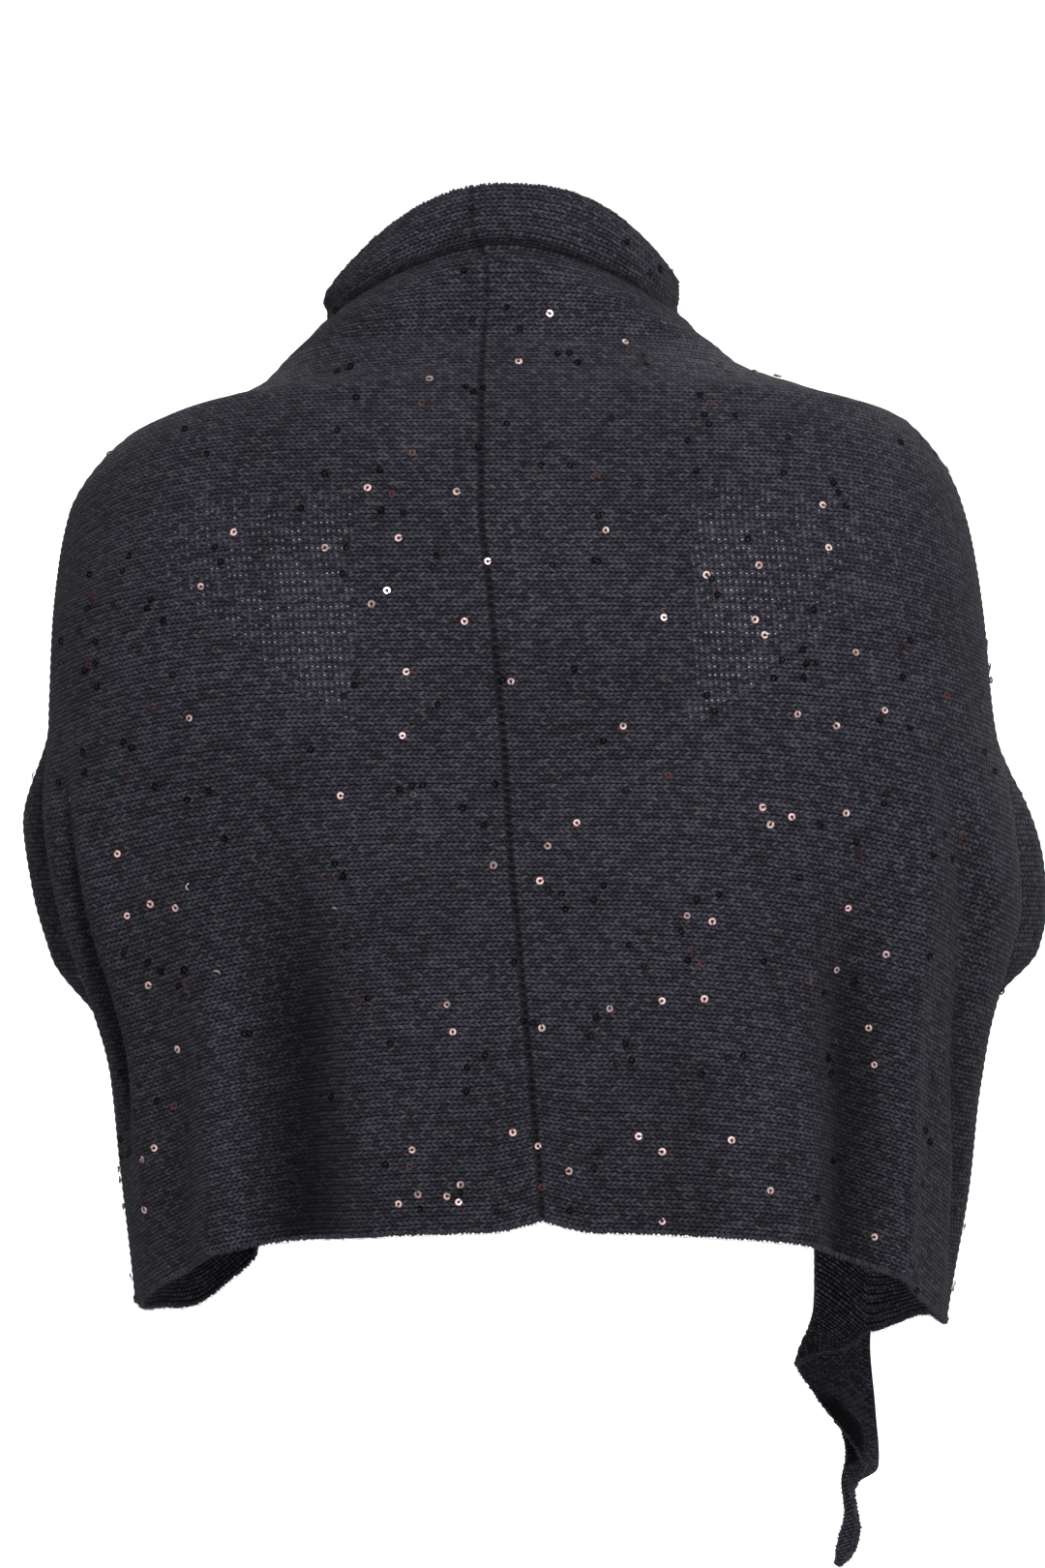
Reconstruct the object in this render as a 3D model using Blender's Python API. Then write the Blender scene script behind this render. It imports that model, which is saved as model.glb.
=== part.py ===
"""A pulled-on knitted poncho in its worn, hollow form: two panels knitted sideways, joined
down the centre back, with a grown-on stand collar and a right front that hangs in a tail.

Frame: +Z up, the back faces -Y, +X is the wearer's right. The origin is at the base of the
neck, midway between the shoulders, where the cloth bears on the wearer.

The cloth is one wide tube of rings. Each ring starts at the centre back seam and goes round
by the wearer's left: column 0 is the seam, 1 the left side, 2 the centre front, 3 the right
side and 4 the seam again. A ring is a row of the knitting, so it droops at the sides.
"""
import math
from functools import lru_cache
from typing import NamedTuple

import bpy
import numpy as np

WALL = 0.0024            # thickness of the knitted cloth
SEAM_GAP = 0.00035       # space left between two joined stretches of cloth
KNIT_COLOUR = (0.022, 0.022, 0.030, 1.0)
KNIT_ROUGHNESS = 0.92

FRONT_SEAM = 2.07        # column where the left front is joined to the edge of the right front
QUARTER_STEPS = 180      # points on a quarter of a ring while its length is measured
NEARBY = 0.01            # columns to each side that give the direction of a ring
PROBE = 0.001            # the same for the direction of the cloth, in its own places
TINY = 1e-12


class Ring(NamedTuple):
    """One row of the knitting, from the centre back round the sides to the front."""
    down: float          # 0 at the top of the stretch, 1 at its lower edge at the back
    seam_x: float        # where the centre back seam crosses it
    back_y: float
    back_z: float
    left_x: float        # the wearer's left
    left_z: float
    right_x: float
    right_z: float
    front_y: float
    front_z: float
    square: float        # 2 is an ellipse in plan, more is squarer
    left_droop: float    # how late the row drops on its way to the side
    right_droop: float


BODY = (
    Ring(0.00, -0.020, -0.072, 0.019, -0.122, 0.009, 0.099, 0.017, 0.076, -0.056, 2.1, 7.0, 7.0),
    Ring(0.015, -0.020, -0.077, 0.012, -0.136, -0.005, 0.113, 0.006, 0.083, -0.067, 2.1, 4.0, 4.0),
    Ring(0.03, -0.021, -0.081, 0.004, -0.162, -0.017, 0.152, -0.007, 0.090, -0.077, 2.1, 3.2, 3.2),
    Ring(0.06, -0.021, -0.090, -0.009, -0.205, -0.032, 0.199, -0.023, 0.103, -0.098, 2.1, 5.0, 5.5),
    Ring(0.12, -0.021, -0.103, -0.034, -0.234, -0.070, 0.226, -0.062, 0.117, -0.128, 2.2, 6.5, 6.5),
    Ring(0.19, -0.021, -0.113, -0.068, -0.240, -0.100, 0.234, -0.094, 0.128, -0.164, 2.3, 6.0, 6.0),
    Ring(0.28, -0.017, -0.118, -0.107, -0.243, -0.130, 0.239, -0.130, 0.136, -0.202, 2.4, 5.5, 5.5),
    Ring(0.38, -0.013, -0.119, -0.151, -0.245, -0.177, 0.243, -0.173, 0.141, -0.240, 2.4, 5.0, 5.0),
    Ring(0.48, -0.009, -0.118, -0.195, -0.249, -0.223, 0.255, -0.228, 0.144, -0.276, 2.5, 3.8, 3.8),
    Ring(0.56, -0.007, -0.117, -0.230, -0.244, -0.263, 0.259, -0.272, 0.145, -0.302, 2.5, 3.3, 3.3),
    Ring(0.63, -0.005, -0.117, -0.259, -0.235, -0.295, 0.252, -0.304, 0.146, -0.322, 2.5, 3.1, 3.1),
    Ring(0.70, -0.002, -0.117, -0.288, -0.223, -0.327, 0.243, -0.335, 0.146, -0.341, 2.5, 3.0, 3.0),
    Ring(0.78, 0.001, -0.118, -0.322, -0.213, -0.361, 0.236, -0.370, 0.145, -0.360, 2.5, 3.0, 3.0),
    Ring(0.88, 0.005, -0.118, -0.366, -0.208, -0.406, 0.231, -0.416, 0.143, -0.382, 2.6, 3.2, 3.2),
    Ring(1.00, 0.010, -0.121, -0.438, -0.200, -0.476, 0.219, -0.487, 0.140, -0.414, 2.7, 3.4, 3.6),
    Ring(1.30, 0.010, -0.121, -0.560, -0.190, -0.603, 0.206, -0.613, 0.134, -0.540, 2.7, 3.0, 3.0),
    Ring(1.75, 0.010, -0.121, -0.720, -0.175, -0.763, 0.180, -0.773, 0.128, -0.720, 2.7, 3.0, 3.0),
)

COLLAR = (
    Ring(0.00, -0.026, -0.058, 0.097, -0.101, 0.044, 0.080, 0.050, 0.088, -0.002, 2.0, 2.1, 2.6),
    Ring(0.16, -0.026, -0.062, 0.091, -0.102, 0.042, 0.081, 0.047, 0.092, -0.010, 2.0, 2.1, 2.5),
    Ring(0.42, -0.026, -0.065, 0.077, -0.103, 0.038, 0.081, 0.040, 0.092, -0.022, 2.0, 1.9, 2.1),
    Ring(0.54, -0.024, -0.064, 0.070, -0.101, 0.034, 0.080, 0.035, 0.086, -0.029, 2.0, 1.7, 1.8),
    Ring(0.62, -0.021, -0.058, 0.065, -0.101, 0.030, 0.082, 0.031, 0.080, -0.034, 2.0, 1.7, 1.7),
    Ring(0.70, -0.019, -0.062, 0.059, -0.105, 0.026, 0.086, 0.028, 0.080, -0.039, 2.0, 1.9, 1.9),
    Ring(0.84, -0.018, -0.069, 0.042, -0.112, 0.018, 0.091, 0.022, 0.082, -0.048, 2.0, 3.5, 3.5),
    Ring(1.00, -0.020, -0.072, 0.019, -0.122, 0.009, 0.099, 0.017, 0.076, -0.056, 2.1, 7.0, 7.0),
)


class Fold(NamedTuple):
    """A soft trough or crest that runs down the cloth."""
    name: str
    top: float           # column where it starts
    hem: float           # column at the hem
    width: float         # half width, in columns
    depth: float         # outward where positive
    starts: float        # rings, by their place down the panel
    full: float
    fades: float
    gone: float


ON_TO_THE_HEM = 9.0
FOLDS = (
    Fold("left back trough", 0.40, 0.45, 0.080, -0.019, 0.42, 0.85, ON_TO_THE_HEM, 10.0),
    Fold("left back crest", 0.56, 0.60, 0.055, 0.006, 0.45, 0.80, ON_TO_THE_HEM, 10.0),
    Fold("left low trough", 0.66, 0.69, 0.040, -0.004, 0.70, 0.88, ON_TO_THE_HEM, 10.0),
    Fold("left edge crest", 0.76, 0.78, 0.040, 0.004, 0.42, 0.55, 0.80, 1.00),
    Fold("left edge trough", 0.83, 0.85, 0.032, -0.009, 0.38, 0.55, 0.74, 0.92),
    Fold("left side trough", 1.00, 1.02, 0.045, -0.013, 0.36, 0.54, 0.66, 0.80),
    Fold("left front bulge", 1.13, 1.13, 0.080, 0.016, 0.34, 0.50, 0.64, 0.73),
    Fold("left front trough", 1.44, 1.50, 0.080, -0.012, 0.40, 0.80, ON_TO_THE_HEM, 10.0),
    Fold("left front crest", 1.70, 1.76, 0.100, 0.008, 0.30, 0.80, ON_TO_THE_HEM, 10.0),
    Fold("faint back trough", 3.74, 3.73, 0.050, -0.003, 0.70, 0.88, ON_TO_THE_HEM, 10.0),
    Fold("right back trough", 3.44, 3.42, 0.055, -0.017, 0.46, 0.85, ON_TO_THE_HEM, 10.0),
    Fold("right back crest", 3.33, 3.32, 0.032, 0.007, 0.30, 0.70, ON_TO_THE_HEM, 10.0),
    Fold("right edge trough", 3.27, 3.12, 0.035, -0.009, 0.40, 0.60, 0.86, 1.00),
    Fold("right side trough", 3.00, 3.00, 0.040, -0.012, 0.38, 0.54, 0.64, 0.76),
    Fold("right front bulge", 2.88, 2.88, 0.070, 0.018, 0.36, 0.52, 0.61, 0.68),
)


class Cascade(NamedTuple):
    """How far the right front folds over itself at one height."""
    down: float
    nose: float          # column of the first fold, which points to the centre
    turn: float          # column of the second fold, which points to the side
    spread: float        # distance between two layers


NOSE = 0.40              # how far across the right front the two folds lie
TURN = 0.58
BEND = 0.04              # how far across it each fold takes to turn round
FOLDED = 0.7             # how far the layers dwell at a fold, against an even spacing
FLAT_AGAIN = 0.75        # from here to the free edge the layers come back to the ring


def top_column(across):
    """The column at the neck of a place across the right front."""
    return 3.0 + (FRONT_SEAM - 3.0) * across


CASCADE = (
    Cascade(0.00, top_column(NOSE), top_column(TURN), 0.000),
    Cascade(0.30, 2.60, 2.50, 0.001),
    Cascade(0.60, 2.57, 2.54, 0.004),
    Cascade(0.85, 2.53, 2.59, 0.008),
    Cascade(1.00, 2.51, 2.61, 0.009),
    Cascade(1.12, 2.52, 2.61, 0.009),
    Cascade(1.20, 2.49, 2.63, 0.009),
    Cascade(1.26, 2.49, 2.645, 0.009),
    Cascade(1.31, 2.50, 2.60, 0.009),
    Cascade(1.36, 2.52, 2.62, 0.009),
    Cascade(1.75, 2.52, 2.60, 0.008),
)


class HemPoint(NamedTuple):
    """How far down the tube the lower edge lies, at one place across it."""
    across: float        # columns from the seam, or a share of the right front from its side
    down: float


BACK_HEM = (
    HemPoint(0.00, 0.985),
    HemPoint(0.10, 0.996),
    HemPoint(0.30, 0.997),
    HemPoint(0.60, 0.988),
    HemPoint(0.90, 1.00),
    HemPoint(1.00, 1.00),
)
LEFT_HEM = (
    HemPoint(1.00, 1.00),
    HemPoint(1.20, 1.03),
    HemPoint(1.36, 1.07),
    HemPoint(1.44, 1.06),
    HemPoint(1.52, 0.93),
    HemPoint(1.66, 0.89),
    HemPoint(FRONT_SEAM, 0.89),
)
TAIL_TOP = 1.10          # how far down the tube the tail begins
RIGHT_HEM = (
    HemPoint(0.00, 1.00),
    HemPoint(0.10, 1.01),
    HemPoint(0.21, 1.08),
    HemPoint(0.24, TAIL_TOP),
    HemPoint(0.70, TAIL_TOP),
    HemPoint(0.71, 1.095),
    HemPoint(0.74, 0.96),
    HemPoint(0.80, 0.91),
    HemPoint(1.00, 0.89),
)
CUT_STARTS = 0.70        # rows above this are not changed by the shape of the hem
CUT_POWER = 1.5


class TailEdge(NamedTuple):
    """How much of the right front is still there, at one height of the tail."""
    down: float
    outer: float         # share across the front where its lower edge lies
    inner: float         # share where its front edge lies


TAIL = (
    TailEdge(TAIL_TOP, 0.24, 0.70),
    TailEdge(1.145, 0.29, 0.70),
    TailEdge(1.17, 0.34, 0.70),
    TailEdge(1.20, 0.40, 0.70),
    TailEdge(1.23, 0.46, 0.70),
    TailEdge(1.26, 0.53, 0.69),
    TailEdge(1.31, 0.58, 0.64),
    TailEdge(1.36, 0.59, 0.65),
    TailEdge(1.40, 0.62, 0.66),
    TailEdge(1.425, 0.65, 0.66),
)


class Span(NamedTuple):
    """A run of places that lie equally far apart."""
    start: float
    end: float
    steps: int


BODY_ROWS = 24
CROWDING = 1.3           # draws the rows closer together at the shoulders
COLLAR_ROWS = 9
TAIL_ROWS = 16
BACK_LEFT = (Span(0.0, 0.72, 12), Span(0.72, 1.0, 8))
FRONT_LEFT = (Span(1.0, 1.24, 7), Span(1.24, FRONT_SEAM, 12))
ABOVE_TAIL = Span(TAIL[0].inner, TAIL[0].outer, 20)
FRONT_RIGHT = (Span(1.0, ABOVE_TAIL.start, 6), ABOVE_TAIL, Span(ABOVE_TAIL.end, 0.0, 8))
BACK_RIGHT = (Span(3.0, 3.5, 14), Span(3.5, 4.0, 8))
COLLAR_LEFT = BACK_LEFT + FRONT_LEFT
COLLAR_RIGHT = tuple(Span(top_column(span.start), top_column(span.end), span.steps)
                     for span in FRONT_RIGHT) + BACK_RIGHT
TAIL_ACROSS = (Span(1.0, 0.0, ABOVE_TAIL.steps),)


def ease(value, start, end):
    """Rise smoothly from 0 at start to 1 at end."""
    share = min(max((value - start) / (end - start), 0.0), 1.0)
    return share * share * (3.0 - 2.0 * share)


def bell(value, centre, width):
    """A smooth hump of height 1."""
    return math.exp(-((value - centre) / width) ** 2)


def blend(start, end, share):
    """A value part of the way from start to end."""
    return start + (end - start) * share


@lru_cache(maxsize=None)
def curve_of(rows, name):
    """The places, values and slopes of one column of a table, with no overshoot between rows."""
    places = np.array([row[0] for row in rows])
    values = np.array([getattr(row, name) for row in rows])
    secants = np.diff(values) / np.diff(places)
    before, after = secants[:-1], secants[1:]
    turns = before * after <= 0.0
    inner = np.where(turns, 0.0, 2.0 * before * after / np.where(turns, 1.0, before + after))
    return places, values, np.concatenate((secants[:1], inner, secants[-1:]))


def read_table(rows, name, place):
    """One named column of a table, on a smooth curve through its rows."""
    places, values, slopes = curve_of(rows, name)
    place = min(max(place, places[0]), places[-1])
    left = min(max(int(np.searchsorted(places, place, side="right")) - 1, 0), len(rows) - 2)
    width = places[left + 1] - places[left]
    share = (place - places[left]) / width
    rise = values[left + 1] - values[left]
    enter = slopes[left] * width
    leave = slopes[left + 1] * width
    bend = 3.0 * rise - 2.0 * enter - leave + share * (enter + leave - 2.0 * rise)
    return float(values[left] + share * (enter + share * bend))


@lru_cache(maxsize=None)
def ring_at(rows, down):
    """The ring at a place down the cloth, between the rows of its table."""
    return Ring(down, *(read_table(rows, name, down) for name in Ring._fields[1:]))


@lru_cache(maxsize=None)
def plan_of(ring):
    """The ring seen from above: its columns, by the length of each quarter, and their x and y."""
    middle = blend(ring.left_x, ring.right_x, 0.5)
    half = 0.5 * (ring.right_x - ring.left_x)
    seam_side = (middle - ring.seam_x) / half
    seam_angle = math.asin(math.copysign(abs(seam_side) ** (0.5 * ring.square), seam_side))
    corners = (seam_angle, 0.5 * math.pi, math.pi, 1.5 * math.pi, 2.0 * math.pi + seam_angle)
    power = 2.0 / ring.square
    columns, xs, ys = [], [], []
    for quarter in range(4):
        angle = np.linspace(corners[quarter], corners[quarter + 1], QUARTER_STEPS + 1)
        side = np.sign(np.sin(angle)) * np.abs(np.sin(angle)) ** power
        back = np.sign(np.cos(angle)) * np.abs(np.cos(angle)) ** power
        x = middle - half * side
        y = np.where(back > 0.0, ring.back_y * back, -ring.front_y * back)
        run = np.concatenate(([0.0], np.cumsum(np.hypot(np.diff(x), np.diff(y)))))
        columns.append(quarter + run / run[-1])
        xs.append(x)
        ys.append(y)
    return np.concatenate(columns), np.concatenate(xs), np.concatenate(ys)


def height_on(ring, column, x):
    """Height of the row: level at the centre, dropping late towards the sides."""
    middle = blend(ring.left_x, ring.right_x, 0.5)
    half = 0.5 * (ring.right_x - ring.left_x)
    out = min(abs(x - middle) / half, 1.0)
    side_z, droop = (ring.left_z, ring.left_droop) if x < middle else (ring.right_z, ring.right_droop)
    centre_z = ring.front_z if 1.0 < column < 3.0 else ring.back_z
    return blend(centre_z, side_z, out ** droop)


def fold_depth(column, down):
    """How far the folds push the cloth outward."""
    depth = 0.0
    for fold in FOLDS:
        centre = blend(fold.top, fold.hem, ease(down, fold.starts, 1.0))
        shown = ease(down, fold.starts, fold.full) * (1.0 - ease(down, fold.fades, fold.gone))
        depth += fold.depth * shown * bell(column, centre, fold.width)
    return depth


def point_on(rows, column, down, lift=0.0):
    """A point of the cloth, moved outward by the folds and by lift."""
    ring = ring_at(rows, down)
    columns, xs, ys = plan_of(ring)
    column %= 4.0
    x = float(np.interp(column, columns, xs))
    y = float(np.interp(column, columns, ys))
    ends = (column - NEARBY) % 4.0, (column + NEARBY) % 4.0
    along_x = float(np.subtract(*np.interp(ends, columns, xs)[::-1]))
    along_y = float(np.subtract(*np.interp(ends, columns, ys)[::-1]))
    length = math.hypot(along_x, along_y)
    out = lift
    z = height_on(ring, column, x)
    if rows is BODY:
        out += fold_depth(column, down)
    return np.array((x - out * along_y / length, y + out * along_x / length, z))


def collar_point(column, down):
    """A point of the collar, which goes on into the body below its foot."""
    return point_on(COLLAR, column, down) if down <= 1.0 else point_on(BODY, column, down - 1.0)


def tube_point(column, down):
    """A point of the tube below the collar."""
    return point_on(BODY, column, down) if down >= 0.0 else point_on(COLLAR, column, 1.0 + down)


def to_hem(hem, across, row):
    """How far down the tube a row lies, once the rows are stretched or drawn up to the hem."""
    low = max(row - CUT_STARTS, 0.0) / (1.0 - CUT_STARTS)
    return row + (read_table(hem, "down", across) - 1.0) * low ** CUT_POWER


def back_point(column, row):
    """A point of the back, down to its hem."""
    return tube_point(column, to_hem(BACK_HEM, min(column, 4.0 - column), row))


def front_left_point(column, row):
    """A point of the left front, down to its hem."""
    return tube_point(column, to_hem(LEFT_HEM, column, row))


def folded_point(across, down):
    """A point of the right front, which folds back on itself as it goes down."""
    if not 0.0 < across < 1.0 or down <= 0.0:
        return tube_point(top_column(across), down)
    nose, turn, spread = (read_table(CASCADE, name, down) for name in Cascade._fields[1:])
    folded = FOLDED * ease(down, 0.0, 1.0)
    if across < NOSE:
        run = across / NOSE
        column = blend(3.0, nose, blend(run, math.sin(0.5 * math.pi * run), folded))
    elif across < TURN:
        run = (across - NOSE) / (TURN - NOSE)
        column = blend(nose, turn, blend(run, 0.5 - 0.5 * math.cos(math.pi * run), folded))
    else:
        run = (across - TURN) / (1.0 - TURN)
        column = blend(turn, FRONT_SEAM, blend(run, 1.0 - math.cos(0.5 * math.pi * run), folded))
    layers = ease(across, NOSE - BEND, NOSE + BEND) + ease(across, TURN - BEND, TURN + BEND)
    return point_on(BODY, column, down, spread * layers * (1.0 - ease(across, FLAT_AGAIN, 1.0)))


def front_right_point(across, row):
    """A point of the right front, down to its hem and the top of the tail."""
    return folded_point(across, to_hem(RIGHT_HEM, across, row))


def tail_point(side, down):
    """A point of the tail, from its lower edge at 0 to its front edge at 1."""
    outer = read_table(TAIL, "outer", down)
    inner = read_table(TAIL, "inner", down)
    return folded_point(blend(outer, inner, side), down)


def along(before, here, after):
    """The direction of the cloth at a point, between its two neighbours."""
    steps = (after - here, here - before)
    return sum(step / max(np.linalg.norm(step), TINY) for step in steps)


def cloth_walls(surface, places, downs):
    """The outer and inner faces of a stretch: points on a surface, and the same moved inward."""
    outer, inner = [], []
    for down in downs:
        for place in places:
            here = surface(place, down)
            across = along(surface(place - PROBE, down), here, surface(place + PROBE, down))
            lower = along(surface(place, down - PROBE), here, surface(place, down + PROBE))
            normal = np.cross(across, lower)
            if places[-1] < places[0]:
                normal = -normal
            outer.append(here)
            inner.append(here + normal * (-WALL / np.linalg.norm(normal)))
    shape = (len(downs), len(places), 3)
    return np.array(outer).reshape(shape), np.array(inner).reshape(shape)


def places_of(spans):
    """The places along a row of spans."""
    places = [spans[0].start]
    for span in spans:
        places.extend(blend(span.start, span.end, (step + 1) / span.steps) for step in range(span.steps))
    return places


def draw_in(grid, edge):
    """Draw one edge of a stretch in by half the seam gap."""
    line, beside = {
        "top": (grid[0], grid[1]),
        "bottom": (grid[-1], grid[-2]),
        "start": (grid[:, 0], grid[:, 1]),
        "end": (grid[:, -1], grid[:, -2]),
    }[edge]
    step = beside - line
    line += step * (0.5 * SEAM_GAP / np.linalg.norm(step, axis=-1, keepdims=True))


def strips(first, second):
    """Faces between two rows of point numbers."""
    return [(first[i], first[i + 1], second[i + 1], second[i]) for i in range(len(first) - 1)]


def knit_material(name):
    """Dark, matt knitted yarn."""
    material = bpy.data.materials.new(name)
    material.use_nodes = True
    shader = material.node_tree.nodes["Principled BSDF"]
    shader.inputs["Base Color"].default_value = KNIT_COLOUR
    shader.inputs["Roughness"].default_value = KNIT_ROUGHNESS
    shader.inputs["Metallic"].default_value = 0.0
    return material


def make_cloth(name, surface, spans, rows, seams, collection):
    """Loft one stretch of cloth as a closed wall, drawn in where it meets another stretch."""
    outer, inner = cloth_walls(surface, places_of(spans), rows)
    for grid in (outer, inner):
        for edge in seams:
            draw_in(grid, edge)
    down, across = outer.shape[:2]
    front = np.arange(down * across).reshape(down, across)
    back = front + down * across
    faces = []
    for row in range(down - 1):
        faces += strips(front[row], front[row + 1])
        faces += strips(back[row + 1], back[row])
    faces += strips(back[0], front[0]) + strips(front[-1], back[-1])
    faces += strips(front[:, 0], back[:, 0]) + strips(back[:, -1], front[:, -1])
    mesh = bpy.data.meshes.new(name)
    points = np.concatenate((outer.reshape(-1, 3), inner.reshape(-1, 3)))
    mesh.from_pydata(points.tolist(), [], [tuple(int(corner) for corner in face) for face in faces])
    mesh.shade_smooth()
    mesh.set_sharp_from_angle(angle=math.radians(60.0))
    mesh.materials.append(knit_material(name))
    collection.objects.link(bpy.data.objects.new(name, mesh))


def main():
    """Build the poncho's stretches of cloth."""
    for old in list(bpy.data.objects):
        bpy.data.objects.remove(old)
    poncho = bpy.data.collections.new("Knitted poncho")
    bpy.context.scene.collection.children.link(poncho)
    collar_rows = [row / COLLAR_ROWS for row in range(COLLAR_ROWS + 1)]
    body_rows = [(row / BODY_ROWS) ** CROWDING for row in range(BODY_ROWS + 1)]
    tail_rows = [blend(TAIL_TOP, TAIL[-1].down, row / TAIL_ROWS) for row in range(TAIL_ROWS + 1)]
    collar_seams = ("start", "end", "bottom")
    body_seams = ("start", "end", "top")
    make_cloth("collar_left", collar_point, COLLAR_LEFT, collar_rows, collar_seams, poncho)
    make_cloth("collar_right", collar_point, COLLAR_RIGHT, collar_rows, collar_seams, poncho)
    make_cloth("back_left", back_point, BACK_LEFT, body_rows, body_seams, poncho)
    make_cloth("front_left", front_left_point, FRONT_LEFT, body_rows, body_seams, poncho)
    make_cloth("front_right", front_right_point, FRONT_RIGHT, body_rows, (*body_seams, "bottom"), poncho)
    make_cloth("back_right", back_point, BACK_RIGHT, body_rows, body_seams, poncho)
    make_cloth("tail_right", tail_point, TAIL_ACROSS, tail_rows, ("top",), poncho)


main()
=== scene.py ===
"""The looks of a knitted poncho: its sideways-knitted cloth, its seams and edges, and its sequins.

Frame: +Z up, the back faces -Y, +X is the wearer's right, and the origin is at the base of the
neck. The cloth is one wide tube of rings. Column 0 of a ring is the centre back seam, 1 the left
side, 2 the centre front, 3 the right side and 4 the seam again.
"""
import math
from functools import lru_cache
from itertools import product
from typing import NamedTuple

import bpy
import numpy as np
from bpy.props import FloatProperty, FloatVectorProperty, IntProperty, PointerProperty
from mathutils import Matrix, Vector
from mathutils.bvhtree import BVHTree


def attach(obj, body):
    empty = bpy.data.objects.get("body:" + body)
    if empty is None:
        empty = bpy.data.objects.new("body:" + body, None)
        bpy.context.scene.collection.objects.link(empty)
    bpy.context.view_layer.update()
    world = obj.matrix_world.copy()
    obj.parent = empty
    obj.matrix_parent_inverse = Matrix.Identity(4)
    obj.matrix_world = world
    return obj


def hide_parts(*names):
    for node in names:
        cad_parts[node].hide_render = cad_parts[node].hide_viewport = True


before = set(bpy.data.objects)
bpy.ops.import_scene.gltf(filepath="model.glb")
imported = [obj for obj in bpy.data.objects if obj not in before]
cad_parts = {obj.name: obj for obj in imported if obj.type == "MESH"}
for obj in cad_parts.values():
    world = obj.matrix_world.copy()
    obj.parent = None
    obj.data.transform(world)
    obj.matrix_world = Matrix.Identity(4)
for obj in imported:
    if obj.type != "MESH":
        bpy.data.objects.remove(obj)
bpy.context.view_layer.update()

bl_info = {
    "name": "Knitted Poncho",
    "version": (1, 0, 0),
    "blender": (4, 5, 0),
    "location": "View3D > Sidebar > Poncho",
    "description": "Dresses a worn knitted poncho in its knitting, seams, edges and sequins",
    "category": "Object",
}

WALL = 0.0024            # thickness of the knitted cloth
FRONT_SEAM = 2.07        # column where the left front is joined to the edge of the right front
QUARTER_STEPS = 180      # points on a quarter of a ring while its length is measured
NEARBY = 0.01            # columns to each side that give the direction of a ring
TINY = 1e-12


def table(kind, *rows):
    """A table of rows of one kind."""
    return tuple(kind(*row) for row in rows)


class Ring(NamedTuple):
    """One row of the knitting, from the centre back round the sides to the front."""
    down: float          # 0 at the top of the stretch, 1 at its lower edge at the back
    seam_x: float        # where the centre back seam crosses it
    back_y: float
    back_z: float
    left_x: float        # the wearer's left
    left_z: float
    right_x: float
    right_z: float
    front_y: float
    front_z: float
    square: float        # 2 is an ellipse in plan, more is squarer
    left_droop: float    # how late the row drops on its way to the side
    right_droop: float


def rings(*rows):
    """A table of rings whose widths, depths and heights are given in millimetres."""
    return tuple(Ring(row[0], *(part / 1000.0 for part in row[1:10]), *row[10:]) for row in rows)


BODY = rings(
    (0.00, -20, -72, 19, -122, 9, 99, 17, 76, -56, 2.1, 7.0, 7.0),
    (0.015, -20, -77, 12, -136, -5, 113, 6, 83, -67, 2.1, 4.0, 4.0),
    (0.03, -21, -81, 4, -162, -17, 152, -7, 90, -77, 2.1, 3.2, 3.2),
    (0.06, -21, -90, -9, -205, -32, 199, -23, 103, -98, 2.1, 5.0, 5.5),
    (0.12, -21, -103, -34, -234, -70, 226, -62, 117, -128, 2.2, 6.5, 6.5),
    (0.19, -21, -113, -68, -240, -100, 234, -94, 128, -164, 2.3, 6.0, 6.0),
    (0.28, -17, -118, -107, -243, -130, 239, -130, 136, -202, 2.4, 5.5, 5.5),
    (0.38, -13, -119, -151, -245, -177, 243, -173, 141, -240, 2.4, 5.0, 5.0),
    (0.48, -9, -118, -195, -249, -223, 255, -228, 144, -276, 2.5, 3.8, 3.8),
    (0.56, -7, -117, -230, -244, -263, 259, -272, 145, -302, 2.5, 3.3, 3.3),
    (0.63, -5, -117, -259, -235, -295, 252, -304, 146, -322, 2.5, 3.1, 3.1),
    (0.70, -2, -117, -288, -223, -327, 243, -335, 146, -341, 2.5, 3.0, 3.0),
    (0.78, 1, -118, -322, -213, -361, 236, -370, 145, -360, 2.5, 3.0, 3.0),
    (0.88, 5, -118, -366, -208, -406, 231, -416, 143, -382, 2.6, 3.2, 3.2),
    (1.00, 10, -121, -438, -200, -476, 219, -487, 140, -414, 2.7, 3.4, 3.6),
    (1.30, 10, -121, -560, -190, -603, 206, -613, 134, -540, 2.7, 3.0, 3.0),
    (1.75, 10, -121, -720, -175, -763, 180, -773, 128, -720, 2.7, 3.0, 3.0),
)

COLLAR = rings(
    (0.00, -26, -58, 97, -101, 44, 80, 50, 88, -2, 2.0, 2.1, 2.6),
    (0.16, -26, -62, 91, -102, 42, 81, 47, 92, -10, 2.0, 2.1, 2.5),
    (0.42, -26, -65, 77, -103, 38, 81, 40, 92, -22, 2.0, 1.9, 2.1),
    (0.54, -24, -64, 70, -101, 34, 80, 35, 86, -29, 2.0, 1.7, 1.8),
    (0.62, -21, -58, 65, -101, 30, 82, 31, 80, -34, 2.0, 1.7, 1.7),
    (0.70, -19, -62, 59, -105, 26, 86, 28, 80, -39, 2.0, 1.9, 1.9),
    (0.84, -18, -69, 42, -112, 18, 91, 22, 82, -48, 2.0, 3.5, 3.5),
    (1.00, -20, -72, 19, -122, 9, 99, 17, 76, -56, 2.1, 7.0, 7.0),
)


class Fold(NamedTuple):
    """A soft trough or crest that runs down the cloth."""
    top: float           # column where it starts
    hem: float           # column at the hem
    width: float         # half width, in columns
    depth: float         # outward where positive
    starts: float        # rings, by their place down the panel
    full: float
    fades: float = 9.0   # beyond the lowest ring, unless the fold ends higher up
    gone: float = 10.0


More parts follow.
